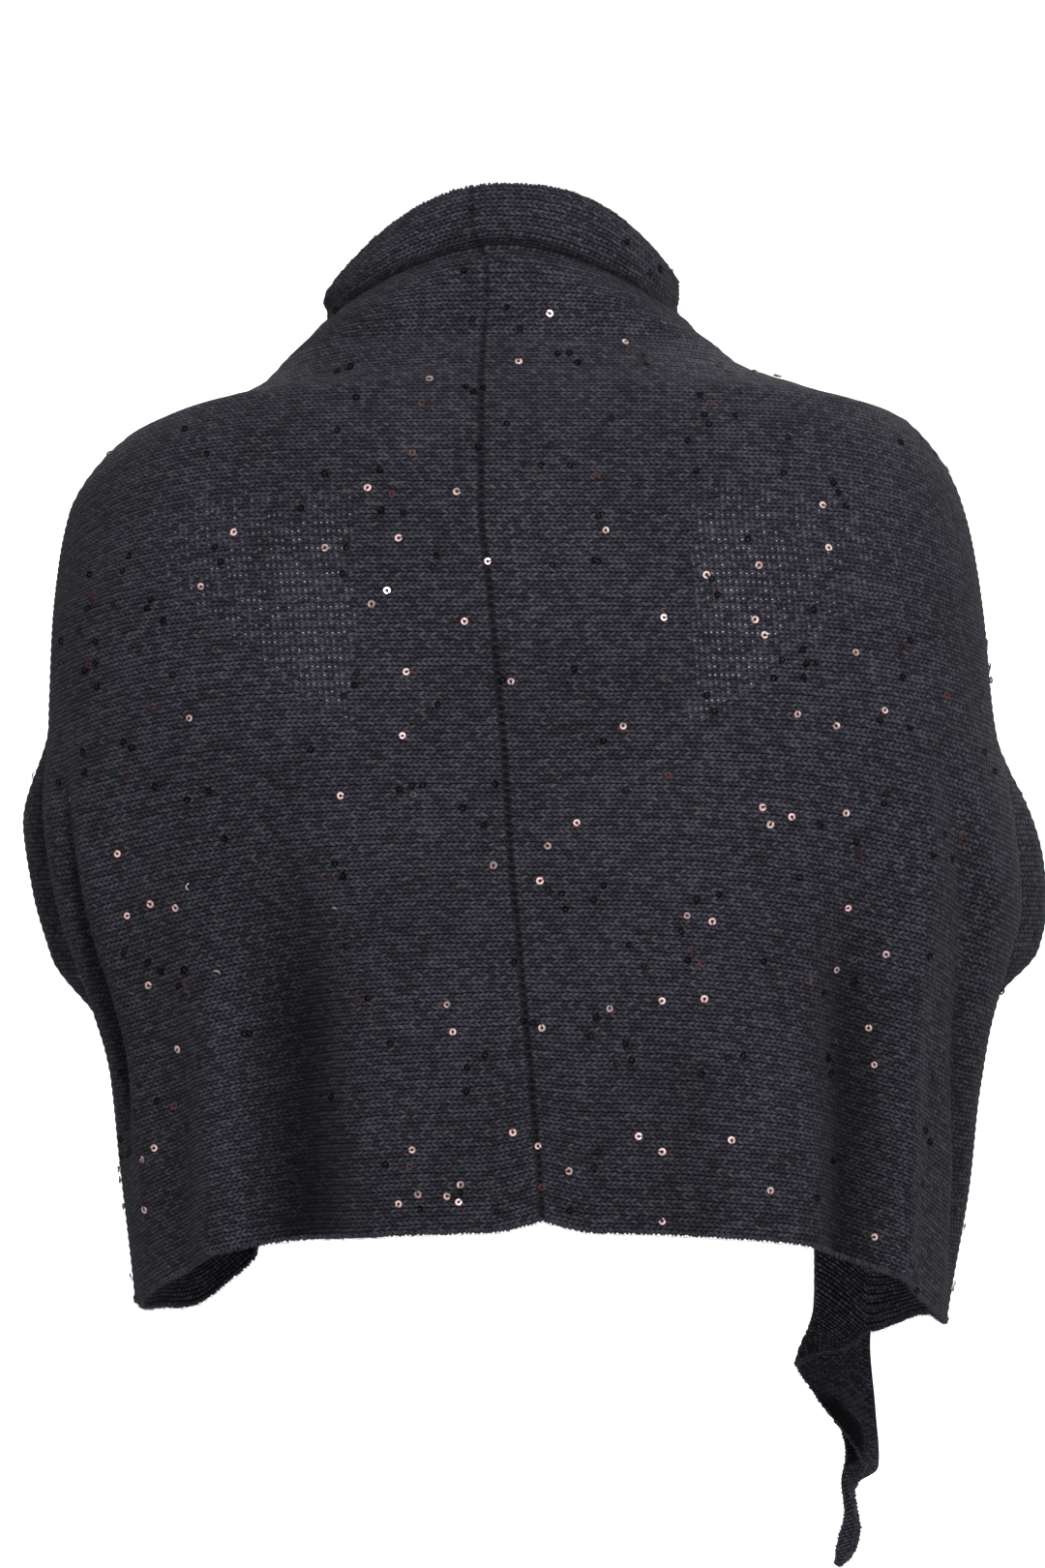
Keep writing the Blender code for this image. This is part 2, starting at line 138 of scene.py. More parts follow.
FOLDS = table(
    Fold,
    (0.40, 0.45, 0.080, -0.019, 0.42, 0.85),             # left back trough
    (0.56, 0.60, 0.055, 0.006, 0.45, 0.80),              # left back crest
    (0.66, 0.69, 0.040, -0.004, 0.70, 0.88),             # left low trough
    (0.76, 0.78, 0.040, 0.004, 0.42, 0.55, 0.80, 1.00),  # left edge crest
    (0.83, 0.85, 0.032, -0.009, 0.38, 0.55, 0.74, 0.92), # left edge trough
    (1.00, 1.02, 0.045, -0.013, 0.36, 0.54, 0.66, 0.80), # left side trough
    (1.13, 1.13, 0.080, 0.016, 0.34, 0.50, 0.64, 0.73),  # left front bulge
    (1.44, 1.50, 0.080, -0.012, 0.40, 0.80),             # left front trough
    (1.70, 1.76, 0.100, 0.008, 0.30, 0.80),              # left front crest
    (3.74, 3.73, 0.050, -0.003, 0.70, 0.88),             # faint back trough
    (3.44, 3.42, 0.055, -0.017, 0.46, 0.85),             # right back trough
    (3.33, 3.32, 0.032, 0.007, 0.30, 0.70),              # right back crest
    (3.27, 3.12, 0.035, -0.009, 0.40, 0.60, 0.86, 1.00), # right edge trough
    (3.00, 3.00, 0.040, -0.012, 0.38, 0.54, 0.64, 0.76), # right side trough
    (2.88, 2.88, 0.070, 0.018, 0.36, 0.52, 0.61, 0.68),  # right front bulge
)


class Cascade(NamedTuple):
    """How far the right front folds over itself at one height."""
    down: float
    nose: float          # column of the first fold, which points to the centre
    turn: float          # column of the second fold, which points to the side
    spread: float        # distance between two layers


NOSE = 0.40              # how far across the right front the two folds lie
TURN = 0.58
BEND = 0.04              # how far across it each fold takes to turn round
FOLDED = 0.7             # how far the layers dwell at a fold, against an even spacing
FLAT_AGAIN = 0.75        # from here to the free edge the layers come back to the ring


def top_column(across):
    """The column at the neck of a place across the right front."""
    return 3.0 + (FRONT_SEAM - 3.0) * across


CASCADE = table(
    Cascade,
    (0.00, top_column(NOSE), top_column(TURN), 0.000), (0.30, 2.60, 2.50, 0.001),
    (0.60, 2.57, 2.54, 0.004), (0.85, 2.53, 2.59, 0.008), (1.00, 2.51, 2.61, 0.009),
    (1.12, 2.52, 2.61, 0.009), (1.20, 2.49, 2.63, 0.009), (1.26, 2.49, 2.645, 0.009),
    (1.31, 2.50, 2.60, 0.009), (1.36, 2.52, 2.62, 0.009), (1.75, 2.52, 2.60, 0.008),
)


class HemPoint(NamedTuple):
    """How far down the tube the lower edge lies, at one place across it."""
    across: float        # columns from the seam, or a share of the right front from its side
    down: float


BACK_HEM = table(
    HemPoint,
    (0.00, 0.985), (0.10, 0.996), (0.30, 0.997), (0.60, 0.988), (0.90, 1.00), (1.00, 1.00),
)
LEFT_HEM = table(
    HemPoint,
    (1.00, 1.00), (1.20, 1.03), (1.36, 1.07), (1.44, 1.06), (1.52, 0.93), (1.66, 0.89),
    (FRONT_SEAM, 0.89),
)
TAIL_TOP = 1.10          # how far down the tube the tail begins
RIGHT_HEM = table(
    HemPoint,
    (0.00, 1.00), (0.10, 1.01), (0.21, 1.08), (0.24, TAIL_TOP), (0.70, TAIL_TOP), (0.71, 1.095),
    (0.74, 0.96), (0.80, 0.91), (1.00, 0.89),
)
CUT_STARTS = 0.70        # rows above this are not changed by the shape of the hem
CUT_POWER = 1.5


class TailEdge(NamedTuple):
    """How much of the right front is still there, at one height of the tail."""
    down: float
    outer: float         # share across the front where its lower edge lies
    inner: float         # share where its front edge lies


TAIL = table(
    TailEdge,
    (TAIL_TOP, 0.24, 0.70), (1.145, 0.29, 0.70), (1.17, 0.34, 0.70), (1.20, 0.40, 0.70),
    (1.23, 0.46, 0.70), (1.26, 0.53, 0.69), (1.31, 0.58, 0.64), (1.36, 0.59, 0.65),
    (1.40, 0.62, 0.66), (1.425, 0.65, 0.66),
)


COLLAR_LEVELS = 140      # levels at which the tube is sampled
BODY_LEVELS = 600
LOWEST = 1.45            # how far down the tube is sampled
CROWDING = 1.3           # draws the levels closer together at the shoulders
ROUND = 1600             # samples round a level
REFERENCE = 0.25         # column along which the wales are counted
REFERENCE_STEPS = 4001


def share_of(value, start, end):
    """How far a value has come from start to end, between 0 and 1."""
    return np.clip((value - start) / (end - start), 0.0, 1.0)


def ease(value, start, end):
    """Rise smoothly from 0 at start to 1 at end."""
    share = share_of(value, start, end)
    return share * share * (3.0 - 2.0 * share)


def between(value, starts, full, fades, gone):
    """Rise smoothly from starts to full, and fall again from fades to gone."""
    return ease(value, starts, full) * (1.0 - ease(value, fades, gone))


def bell(value, centre, width):
    """A smooth hump of height 1."""
    return np.exp(-((value - centre) / width) ** 2)


def blend(start, end, share):
    """A value part of the way from start to end."""
    return start + (end - start) * share


@lru_cache(maxsize=None)
def curve_of(rows, name):
    """The places, values and slopes of one column of a table, with no overshoot between rows."""
    places = np.array([row[0] for row in rows])
    values = np.array([getattr(row, name) for row in rows])
    secants = np.diff(values) / np.diff(places)
    before, after = secants[:-1], secants[1:]
    turns = before * after <= 0.0
    inner = np.where(turns, 0.0, 2.0 * before * after / np.where(turns, 1.0, before + after))
    return places, values, np.concatenate((secants[:1], inner, secants[-1:]))


def read_table(rows, name, place):
    """One named column of a table, on a smooth curve through its rows."""
    places, values, slopes = curve_of(rows, name)
    place = np.clip(place, places[0], places[-1])
    left = np.clip(np.searchsorted(places, place, side="right") - 1, 0, len(rows) - 2)
    width = places[left + 1] - places[left]
    share = (place - places[left]) / width
    rise = values[left + 1] - values[left]
    enter = slopes[left] * width
    leave = slopes[left + 1] * width
    bend = 3.0 * rise - 2.0 * enter - leave + share * (enter + leave - 2.0 * rise)
    return values[left] + share * (enter + share * bend)


def middle_of(ring):
    """Where the middle of a ring lies, and half its width."""
    return blend(ring.left_x, ring.right_x, 0.5), 0.5 * (ring.right_x - ring.left_x)


def plan_of(ring):
    """The ring seen from above: its columns, by the length of each quarter, and their x and y."""
    middle, half = middle_of(ring)
    seam_side = (middle - ring.seam_x) / half
    seam_angle = math.asin(math.copysign(abs(seam_side) ** (0.5 * ring.square), seam_side))
    corners = (seam_angle, 0.5 * math.pi, math.pi, 1.5 * math.pi, 2.0 * math.pi + seam_angle)
    power = 2.0 / ring.square
    quarters = []
    for quarter in range(4):
        angle = np.linspace(corners[quarter], corners[quarter + 1], QUARTER_STEPS + 1)
        side, back = (
            np.sign(part) * np.abs(part) ** power for part in (np.sin(angle), np.cos(angle)))
        x = middle - half * side
        y = np.where(back > 0.0, ring.back_y * back, -ring.front_y * back)
        run = lengths_along(np.stack((x, y), axis=-1))
        quarters.append((quarter + run / run[-1], x, y))
    return np.concatenate(quarters, axis=1)


def heights_on(ring, columns, xs):
    """Heights of the row: level at the centre, dropping late towards the sides."""
    middle, half = middle_of(ring)
    out = np.minimum(np.abs(xs - middle) / half, 1.0)
    side_z = np.where(xs < middle, ring.left_z, ring.right_z)
    droop = np.where(xs < middle, ring.left_droop, ring.right_droop)
    centre_z = np.where((columns > 1.0) & (columns < 3.0), ring.front_z, ring.back_z)
    return blend(centre_z, side_z, out ** droop)


def fold_depth(columns, down):
    """How far the folds push the cloth outward."""
    depth = np.zeros_like(columns)
    for fold in FOLDS:
        centre = blend(fold.top, fold.hem, ease(down, fold.starts, 1.0))
        depth += fold.depth * between(down, *fold[4:]) * bell(columns, centre, fold.width)
    return depth


@lru_cache(maxsize=None)
def tube():
    """The tube, sampled closely: its levels, and at each its places and the way out in plan."""
    body = np.linspace(0.0, 1.0, BODY_LEVELS + 1) ** CROWDING * LOWEST
    downs = np.concatenate((np.linspace(-1.0, 0.0, COLLAR_LEVELS + 1)[:-1], body))
    grid = np.linspace(0.0, 4.0, ROUND + 1)
    samples = np.empty((len(downs), ROUND + 1, 5))
    for level, down in enumerate(downs):
        rows, place = (COLLAR, down + 1.0) if down < 0.0 else (BODY, down)
        ring = Ring(place, *(float(read_table(rows, name, place)) for name in Ring._fields[1:]))
        columns, *plan = plan_of(ring)
        x, y = (np.interp(grid % 4.0, columns, part) for part in plan)
        along_x, along_y = (
            np.interp((grid + NEARBY) % 4.0, columns, part)
            - np.interp((grid - NEARBY) % 4.0, columns, part) for part in plan)
        length = np.hypot(along_x, along_y)
        out_x, out_y = -along_y / length, along_x / length
        out = fold_depth(grid % 4.0, down) if down >= 0.0 else np.zeros_like(grid)
        z = heights_on(ring, grid % 4.0, x)
        samples[level] = np.stack((x + out * out_x, y + out * out_y, z, out_x, out_y), axis=-1)
    return downs, samples


def tube_point(column, down, lift=0.0):
    """Points of the tube, moved outward by lift. The collar lies above 0."""
    downs, samples = tube()
    column, down, lift = np.broadcast_arrays(column, down, lift)
    level = np.interp(down, downs, np.arange(len(downs)))
    low = np.clip(level.astype(int), 0, len(downs) - 2)
    up = (level - low)[..., None]
    spot = column % 4.0 / 4.0 * ROUND
    left = np.clip(spot.astype(int), 0, ROUND - 1)
    over = (spot - left)[..., None]
    above, below = (
        blend(samples[near, left], samples[near, left + 1], over) for near in (low, low + 1))
    mixed = blend(above, below, up)
    points = mixed[..., :3].copy()
    points[..., :2] += lift[..., None] * mixed[..., 3:]
    return points


def to_hem(hem, across, row):
    """How far down the tube a row lies, once the rows are stretched or drawn up to the hem."""
    low = np.clip(row - CUT_STARTS, 0.0, None) / (1.0 - CUT_STARTS)
    return row + (read_table(hem, "down", across) - 1.0) * low ** CUT_POWER


def folded_point(across, down):
    """Points of the right front, which folds back on itself as it goes down."""
    across, down = np.broadcast_arrays(across, down)
    nose, turn, spread = (read_table(CASCADE, name, down) for name in Cascade._fields[1:])
    folded = FOLDED * ease(down, 0.0, 1.0)
    first, second, third = (
        share_of(across, *ends) for ends in ((0.0, NOSE), (NOSE, TURN), (TURN, 1.0)))
    outer = blend(3.0, nose, blend(first, np.sin(0.5 * np.pi * first), folded))
    middle = blend(nose, turn, blend(second, 0.5 - 0.5 * np.cos(np.pi * second), folded))
    inner = blend(turn, FRONT_SEAM, blend(third, 1.0 - np.cos(0.5 * np.pi * third), folded))
    column = np.select([across < NOSE, across < TURN], [outer, middle], inner)
    flat = (across <= 0.0) | (across >= 1.0) | (down <= 0.0)
    layers = sum(ease(across, fold - BEND, fold + BEND) for fold in (NOSE, TURN))
    lift = spread * layers * (1.0 - ease(across, FLAT_AGAIN, 1.0))
    return tube_point(
        np.where(flat, top_column(across), column), down, np.where(flat, 0.0, lift))


def left_panel(place, row):
    """Points of the left panel: place is the column, from the back seam to the front seam."""
    back, front = (to_hem(hem, place, row) for hem in (BACK_HEM, LEFT_HEM))
    return tube_point(place, np.where(place <= 1.0, back, front))


def right_panel(place, row):
    """Points of the right panel: place runs from -1 at the front seam by 0 at the side to 1."""
    front = folded_point(np.clip(-place, 0.0, 1.0), to_hem(RIGHT_HEM, -place, row))
    back = tube_point(3.0 + np.clip(place, 0.0, 1.0), to_hem(BACK_HEM, 1.0 - place, row))
    return np.where((place < 0.0)[..., None], front, back)


def tail_part(place, down):
    """Points of the tail, which goes on from the right panel between the same places."""
    share = (-place - TAIL[0].outer) / (TAIL[0].inner - TAIL[0].outer)
    across = blend(read_table(TAIL, "outer", down), read_table(TAIL, "inner", down), share)
    return folded_point(across, down)


# The places along a row: the first, and the end of each stretch with its longest step.
LEFT_PLACES = (0.0, (0.014, 0.0035), (FRONT_SEAM - 0.014, 0.018), (FRONT_SEAM, 0.0035))
RIGHT_PLACES = (
    -1.0, (-0.985, 0.00375), (-TAIL[0].inner, 0.02), (-0.64, 0.015), (-0.52, 0.006),
    (-0.46, 0.015), (-0.44, 0.01), (-0.36, 0.005), (-TAIL[0].outer, 0.015), (0.0, 0.02),
    (0.986, 0.018), (1.0, 0.0035))
TAIL_ROWS = 76
RIM_ROWS = np.array((0.0, 0.0006, 0.0015))     # the last rows, by their distance from an edge
RIM_GAP = 0.001          # the least distance from them to the next row
RIM_RADIUS = 0.0012
RIM_THIN = 0.42          # how far each face is drawn in at the very edge
GROOVE_WIDTH = 0.0040    # from the seam to the flat cloth
GROOVE_DEPTH = 0.0017
COLLAR_GROOVE = 0.35     # how much of that depth the seam has in the collar
COLLAR_DARK = 0.68       # how strong the groove's painted shade is there
COLLAR_FOOT = (-0.10, 0.05)        # rows over which the collar's seam becomes the back's
TURNING = 0.15           # how far down the tail its wales go on turning
TURNED = 0.9             # how steep they end
PULLED = 0.62            # how far the knitting is pulled open over the shoulder blades
PULLED_FROM = 0.084      # it is pulled from here outwards, on both sides
PULLED_ACROSS = (0.078, 0.092, 0.150, 0.235)   # where it starts, is full, fades and is gone
PULLED_LESS = (0.11, 0.15)         # where it weakens by a quarter
PULLED_LOW = -0.186      # its lower end at PULLED_FROM, which climbs outwards
PULLED_CLIMB = 0.75
PULLED_FOOT = (-0.010, 0.012)      # the heights over which it begins there
PULLED_TOP = (-0.085, -0.040)      # the heights over which it ends above
PULLED_DEEP = (0.04, 0.08)         # how far in front of or behind the sides it begins and is full
STRIP = 0.80             # how far a strip of the right front is pulled too
STRIP_X = 0.187
STRIP_HALF = (0.0035, 0.0105)      # from its middle to where it fades and is gone
STRIP_HEIGHTS = (-0.505, -0.490, -0.440, -0.400)


def places_of(start, *stretches):
    """The places along a row."""
    places = [start]
    for end, step in stretches:
        count = max(math.ceil(abs(end - places[-1]) / step - TINY), 1)
        places.extend(np.linspace(places[-1], end, count + 1)[1:].tolist())
    return np.array(places)


def lengths_along(points):
    """How far along its line each point lies, for one line of points or for each of a grid's."""
    steps = np.linalg.norm(np.diff(points, axis=-2), axis=-1)
    return np.concatenate((np.zeros_like(steps[..., :1]), np.cumsum(steps, axis=-1)), axis=-1)


def wale_rows(pitch):
    """Rows half a wale apart from the collar's rim to the hem, and how far down each lies."""
    row = np.linspace(-1.0, 1.0, REFERENCE_STEPS)
    run = lengths_along(left_panel(np.full_like(row, REFERENCE), row))
    half = np.arange(1, int(run[-1] / (0.5 * pitch)) + 1) * 0.5 * pitch
    margin = RIM_ROWS[-1] + RIM_GAP
    half = half[(half > margin) & (half < run[-1] - margin)]
    depth = np.concatenate((RIM_ROWS, half, run[-1] - RIM_ROWS[::-1]))
    return np.interp(depth, run, row), depth


def unit(vectors):
    """The same directions with length 1."""
    return vectors / np.maximum(np.linalg.norm(vectors, axis=-1, keepdims=True), TINY)


def along(points, axis):
    """The direction of a grid at each of its points, along one of its two ways."""
    steps = np.moveaxis(unit(np.diff(points, axis=axis)), axis, 0)
    mean = np.concatenate((steps[:1], steps[:-1] + steps[1:], steps[-1:]))
    return np.moveaxis(unit(mean), 0, axis)


def facing_of(points):
    """The way out of a grid of cloth at each of its points."""
    return unit(np.cross(along(points, 1), along(points, 0)))


def quads(numbers):
    """Faces of a grid of point numbers."""
    corners = (numbers[:-1, :-1], numbers[:-1, 1:], numbers[1:, 1:], numbers[1:, :-1])
    return np.stack(corners, axis=-1).reshape(-1, 4)


def rim_inset(distance):
    """How far a face is drawn in at a distance from a rounded edge."""
    near = 1.0 - share_of(distance, 0.0, RIM_RADIUS)
    return WALL * RIM_THIN * (1.0 - np.sqrt(1.0 - near ** 2))


def stretched_on(points):
    """How far the knitting is pulled open, from 0 to 1."""
    x, y, z = np.moveaxis(points, -1, 0)
    out = np.abs(x)
    low = PULLED_LOW + PULLED_CLIMB * (out - PULLED_FROM)
    blades = between(out, *PULLED_ACROSS) * (1.0 - 0.25 * ease(out, *PULLED_LESS))
    blades *= ease(z - low, *PULLED_FOOT) * (1.0 - ease(z, *PULLED_TOP))
    blades *= ease(np.abs(y), *PULLED_DEEP)
    strip = (1.0 - ease(np.abs(x - STRIP_X), *STRIP_HALF)) * (y > 0.0)
    return np.maximum(PULLED * blades, STRIP * strip * between(z, *STRIP_HEIGHTS))


def keep(name, data):
    """Put new data into the scene as an object."""
    made = bpy.data.objects.new(name, data)
    bpy.context.scene.collection.objects.link(made)
    return made


def make_mesh(name, points, faces, slots, layers, uv):
    """A mesh with its materials, its attributes and its map of the knitting."""
    mesh = bpy.data.meshes.new(name)
    mesh.from_pydata(points.tolist(), [], faces.tolist())
    mesh.shade_smooth()
    for layer, values in layers.items():
        given = mesh.attributes.new(layer, "FLOAT", "POINT")
        given.data.foreach_set("value", values.astype(np.float32))
    corners = np.empty(len(mesh.loops), dtype=np.int32)
    mesh.loops.foreach_get("vertex_index", corners)
    mesh.uv_layers.new(name="knit").data.foreach_set("uv", uv[corners].astype(np.float32).ravel())
    mesh.polygons.foreach_set("material_index", slots.astype(np.int32))
    mesh.update()
    return keep(name, mesh)


class Cut(NamedTuple):
    """The flat cut of a panel, in metres, and how much of that rectangle is cloth."""
    width: float
    length: float
    area: float


class TailShade(NamedTuple):
    """How far to the side the painted shade of the tail's inner layer reaches, at one height below
    the neck.
    """
    below: float
    to_x: float


DEEP_FOLD = 0.019        # depth of a trough whose shade is full
SHALLOW_SHADE = 0.8      # below 1, shallow troughs are shaded more than in proportion
FOLD_SHADE = (0.42, 0.80)          # how far down the shade of the folds begins and is full
CREASE = -0.395          # row where the slouching collar creases
CREASE_HALF = 0.013
CREASE_SHADE = 0.85      # how dark the crease is, and over which columns it becomes so
CREASE_DEEPENS = (0.03, 0.22)
UNDER_CREASE = 0.13      # how far below the crease its shade reaches
UNDER_SHADE = 0.30
COLLAR_SIDE = (0.75, 1.0)          # columns over which the collar's shade ends
LIT_LOW = (0.425, 0.465)           # where the light from the floor begins and is full
LIT_SHARE = 0.85         # how far it lifts the shade of the low right front
TAIL_SHADE = table(
    TailShade, (0.530, 0.163), (0.5555, 0.1805), (0.565, 0.180), (0.575, 0.171), (0.600, 0.169),
    (0.630, 0.155))
TAIL_EDGE = (-0.0015, 0.0025)      # how softly the painted shade on the inner layer begins to the side
TAIL_DARK = (0.530, 0.538)         # and at its upper end
LOW_TAIL = (0.560, 0.585)          # where the shade on the whole tail begins and is full
LOW_SHADE = 0.7
INNER_SHADE = 2.0        # of the tail's inner layer
RELIEF_FADES = 8         # how fast the wales' relief ends down the tail
SHARP_EDGE = math.radians(60.0)


@lru_cache(maxsize=None)
def left_grid(pitch):
    """The left panel's grid, its rows, how far down each lies and its places."""
    row, depth = wale_rows(pitch)
    places = places_of(*LEFT_PLACES)
    return left_panel(places[None, :], row[:, None]), row, depth, places


@lru_cache(maxsize=None)
def right_grid(pitch):
    """The right panel's grid and the tail's, and where along the hem the tail begins and ends."""
    row, depth = wale_rows(pitch)
    places = places_of(*RIGHT_PLACES)
    points = right_panel(places[None, :], row[:, None])
    first, last = (int(np.argmin(np.abs(places + end))) for end in (TAIL[0].inner, TAIL[0].outer))
    down = np.linspace(TAIL_TOP, TAIL[-1].down, TAIL_ROWS + 1)
    tail = tail_part(places[None, first:last + 1], down[:, None])
    return points, row, depth, places, tail, first, last


def painted_fold_shade(columns, row):
    """Painted shade, from 0 to 1, where less light falls: how deep in a trough or crease the cloth
    lies.
    """
    columns, downs = np.broadcast_arrays(columns[None, :] % 4.0, row[:, None])
    depth = np.stack([fold_depth(line, down) for line, down in zip(columns, row)])
    out = np.minimum(columns, 4.0 - columns)
    crease = CREASE_SHADE * bell(downs, CREASE, CREASE_HALF) * ease(out, *CREASE_DEEPENS)
    under = UNDER_SHADE * bell(downs, CREASE, UNDER_CREASE) * (downs > CREASE)
    collar = np.maximum(crease, under) * (1.0 - ease(out, *COLLAR_SIDE))
    return collar + share_of(-depth, 0.0, DEEP_FOLD) ** SHALLOW_SHADE * ease(downs, *FOLD_SHADE)


def low_shade(points):
    """The shade on the lower tail, and inside its last fold."""
    below = -points[..., 2]
    inner = ease(read_table(TAIL_SHADE, "to_x", below) - points[..., 0], *TAIL_EDGE)
    inner *= INNER_SHADE * ease(below, *TAIL_DARK)
    return np.maximum(LOW_SHADE * ease(below, *LOW_TAIL), inner)


def lay(points, normal, relief, sunk, inset, uv, groove, painted_shade):
    """What a grid of cloth carries: the places of its two faces, its map and its attributes."""
    x, y, z = np.moveaxis(points, -1, 0)
    # Painted light from the floor on the low right front, taken off the painted shade.
    painted_floor_light = LIT_SHARE * ease(-z, *LIT_LOW) * (x > 0.0) * (y > 0.0)
    return {
        "outer": points + normal * (relief - sunk - inset)[..., None],
        "inner": points - normal * (WALL - inset + 0.5 * relief)[..., None], "uv": uv,
        "groove": groove, "stretched": stretched_on(points),
        "shade": np.clip(painted_shade - painted_floor_light, -1.0, 1.0)}


def hang_tail(tail, relief, normal, across, depth):
    """What the tail carries below the first row, which it shares with the panel."""
    normals = facing_of(tail)
    normals[0] = normal
    fade = np.linspace(1.0, 0.0, len(tail))[:, None] ** RELIEF_FADES
    run = lengths_along(tail)
    drop = lengths_along(tail.swapaxes(0, 1)).mean(axis=0)[:, None]
    turn = TURNED * ease(drop, 0.0, TURNING) * (run - 0.5 * run[:, -1:])
    none = np.zeros_like(run)
    laid = lay(tail, normals, relief * fade, none, none,
               np.stack((across + run, depth + drop + turn), axis=-1), none, low_shade(tail))
    return {part: given[1:] for part, given in laid.items()}


def make_panel(name, knit, grid, columns, tail=None):
    """Loft one panel as a closed wall, with its wales in relief and its seams drawn in."""
    points, row, depth = grid
    normal = facing_of(points)
    run = lengths_along(points)
    near = 1.0 - share_of(np.minimum(run, run[:, -1:] - run), 0.0, GROOVE_WIDTH)
    deep = blend(COLLAR_GROOVE, 1.0, ease(row, *COLLAR_FOOT))[:, None]
    edge = np.minimum(depth, depth[-1] - depth)[:, None] + np.zeros_like(run)
    relief = -0.5 * knit.relief * np.cos(2.0 * math.pi * depth / knit.wale)[:, None] * (1.0 - near)
    sheets = [np.arange(run.size).reshape(run.shape)]
    front = sheets[0]
    rims = [front[0, ::-1], front[:, 0], front[::-1, -1]]
    across = run
    if tail:
        hanging, first, last = tail
        shared = slice(first, last + 1)
        edge[len(depth) // 2:, shared] = RIM_RADIUS
        across = run - run[:, -1:]
        low = hang_tail(
            hanging, relief[-1:, shared], normal[-1, shared], across[-1, first], depth[-1])
        numbers = run.size + np.arange(low["groove"].size).reshape(low["groove"].shape)
        hang = np.concatenate((front[-1:, shared], numbers))
        sheets.append(hang)
        rims += [front[-1, :first + 1], front[-1, last:], hang[:, 0], hang[::-1, -1], hang[-1]]
    else:
        low = {}
        rims.append(front[-1])
    # The groove attribute carries the painted shade of the seam's groove; the shade attribute
    # carries the painted shade of folds, creases and tail.
    laid = lay(points, normal, relief, near ** 2 * deep * GROOVE_DEPTH,
               rim_inset(edge), np.stack((across, depth[:, None] + np.zeros_like(run)), axis=-1),
               near * blend(COLLAR_DARK, 1.0, deep), painted_fold_shade(columns, row))
    parts = {part: np.concatenate([given[part].reshape(-1, *given[part].shape[2:])
                                   for given in (laid, low) if given]) for part in laid}
    total = len(parts["uv"])
    walls = [quads(np.stack((rim, rim + total))) for rim in rims]
    outside = np.concatenate([quads(sheet) for sheet in sheets] + walls)
    inside = np.concatenate([quads(sheet + total)[:, ::-1] for sheet in sheets])
    made = make_mesh(
        name, np.concatenate((parts["outer"], parts["inner"])), np.concatenate((outside, inside)),
        np.repeat((0, 1), (len(outside), len(inside))),
        {layer: np.tile(parts[layer], 2) for layer in ("groove", "stretched", "shade")},
        np.tile(parts["uv"], (2, 1)))
    for side, purl in (("Knit right side", False), ("Knit purl side", True)):
        made.data.materials.append(bpy.data.materials.get(side) or knit_finish(side, knit, purl))
    made.data.set_sharp_from_angle(angle=SHARP_EDGE)
    return made


def resample(points, ups, sides, pitch):
    """Points at an even pitch along a path, with the two directions that its stitches turn to."""
    run = lengths_along(points)
    spots = np.arange(0.5 * pitch, run[-1], pitch)
    return tuple(np.stack([np.interp(spots, run, part) for part in values.T], axis=-1)
                 for values in (points, ups, sides))


class Nodes:
    """A tree of nodes, with short ways to add those that are used most."""
    def __init__(self, tree):
        self.tree = tree

    def give(self, socket, value):
        """Give an input a value or a link."""
        if isinstance(value, bpy.types.NodeSocket):
            self.tree.links.new(value, socket)
        else:
            socket.default_value = value

    def add(self, kind, inputs=None, **settings):
        """Add a node with its settings and its inputs."""
        made = self.tree.nodes.new(kind)
        for name, value in settings.items():
            setattr(made, name, value)
        for name, value in (inputs or {}).items():
            self.give(made.inputs[name], value)
        return made

    def calc(self, operation, *values, clamp=False):
        """A sum of up to three values."""
        return self.add("ShaderNodeMath", dict(enumerate(values)), operation=operation,
                        use_clamp=clamp).outputs[0]

    def vector(self, operation, first, second):
        """A sum of two vectors."""
        made = self.add("ShaderNodeVectorMath", {0: first, 1: second}, operation=operation)
        return made.outputs[0]

    def smooth(self, value, low, high, to_low=0.0, to_high=1.0):
        """Map a value smoothly from one range to another."""
        return self.add("ShaderNodeMapRange", {
            "Value": value, "From Min": low, "From Max": high, "To Min": to_low, "To Max": to_high
        }, interpolation_type="SMOOTHSTEP").outputs["Result"]

    def mix(self, share, first, second, blend_type="MIX"):
        """Mix two colours by a share."""
        made = self.add("ShaderNodeMix", data_type="RGBA", blend_type=blend_type)
        for number, value in ((0, share), (6, first), (7, second)):
            self.give(made.inputs[number], value)
        return made.outputs[2]

    def darken(self, colour, level):
        """A colour made darker or lighter by a level."""
        grey = self.add("ShaderNodeCombineXYZ", dict.fromkeys("XYZ", level)).outputs[0]
        return self.mix(1.0, colour, grey, "MULTIPLY")

    def noise(self, place, scale, detail, roughness=0.5):
        """Cloudy noise at a place."""
        return self.add("ShaderNodeTexNoise", {
            "Vector": place, "Scale": scale, "Detail": detail, "Roughness": roughness}).outputs

    def chance(self, first, second):
        """A random value for each pair of whole numbers."""
        both = self.add("ShaderNodeCombineXYZ", {"X": first, "Y": second}).outputs[0]
        made = self.add("ShaderNodeTexWhiteNoise", {"Vector": both}, noise_dimensions="2D")
        return made.outputs["Value"]

    def attribute(self, name):
        """A number that the cloth carries at each point."""
        return self.add("ShaderNodeAttribute", attribute_name=name).outputs["Fac"]

    def place(self):
        """The place on the piece."""
        return self.add("ShaderNodeTexCoord").outputs["Object"]

    def hump(self, share):
        """1 in the middle of a share that runs from 0 to 1, and 0 at its ends."""
        centred = self.calc("MULTIPLY_ADD", share, 2.0, -1.0)
        return self.calc("SUBTRACT", 1.0, self.calc("MULTIPLY", centred, centred))


def start_finish(name):
    """A new finish and its nodes."""
    material = bpy.data.materials.new(name)
    material.use_nodes = True
    return material, Nodes(material.node_tree)


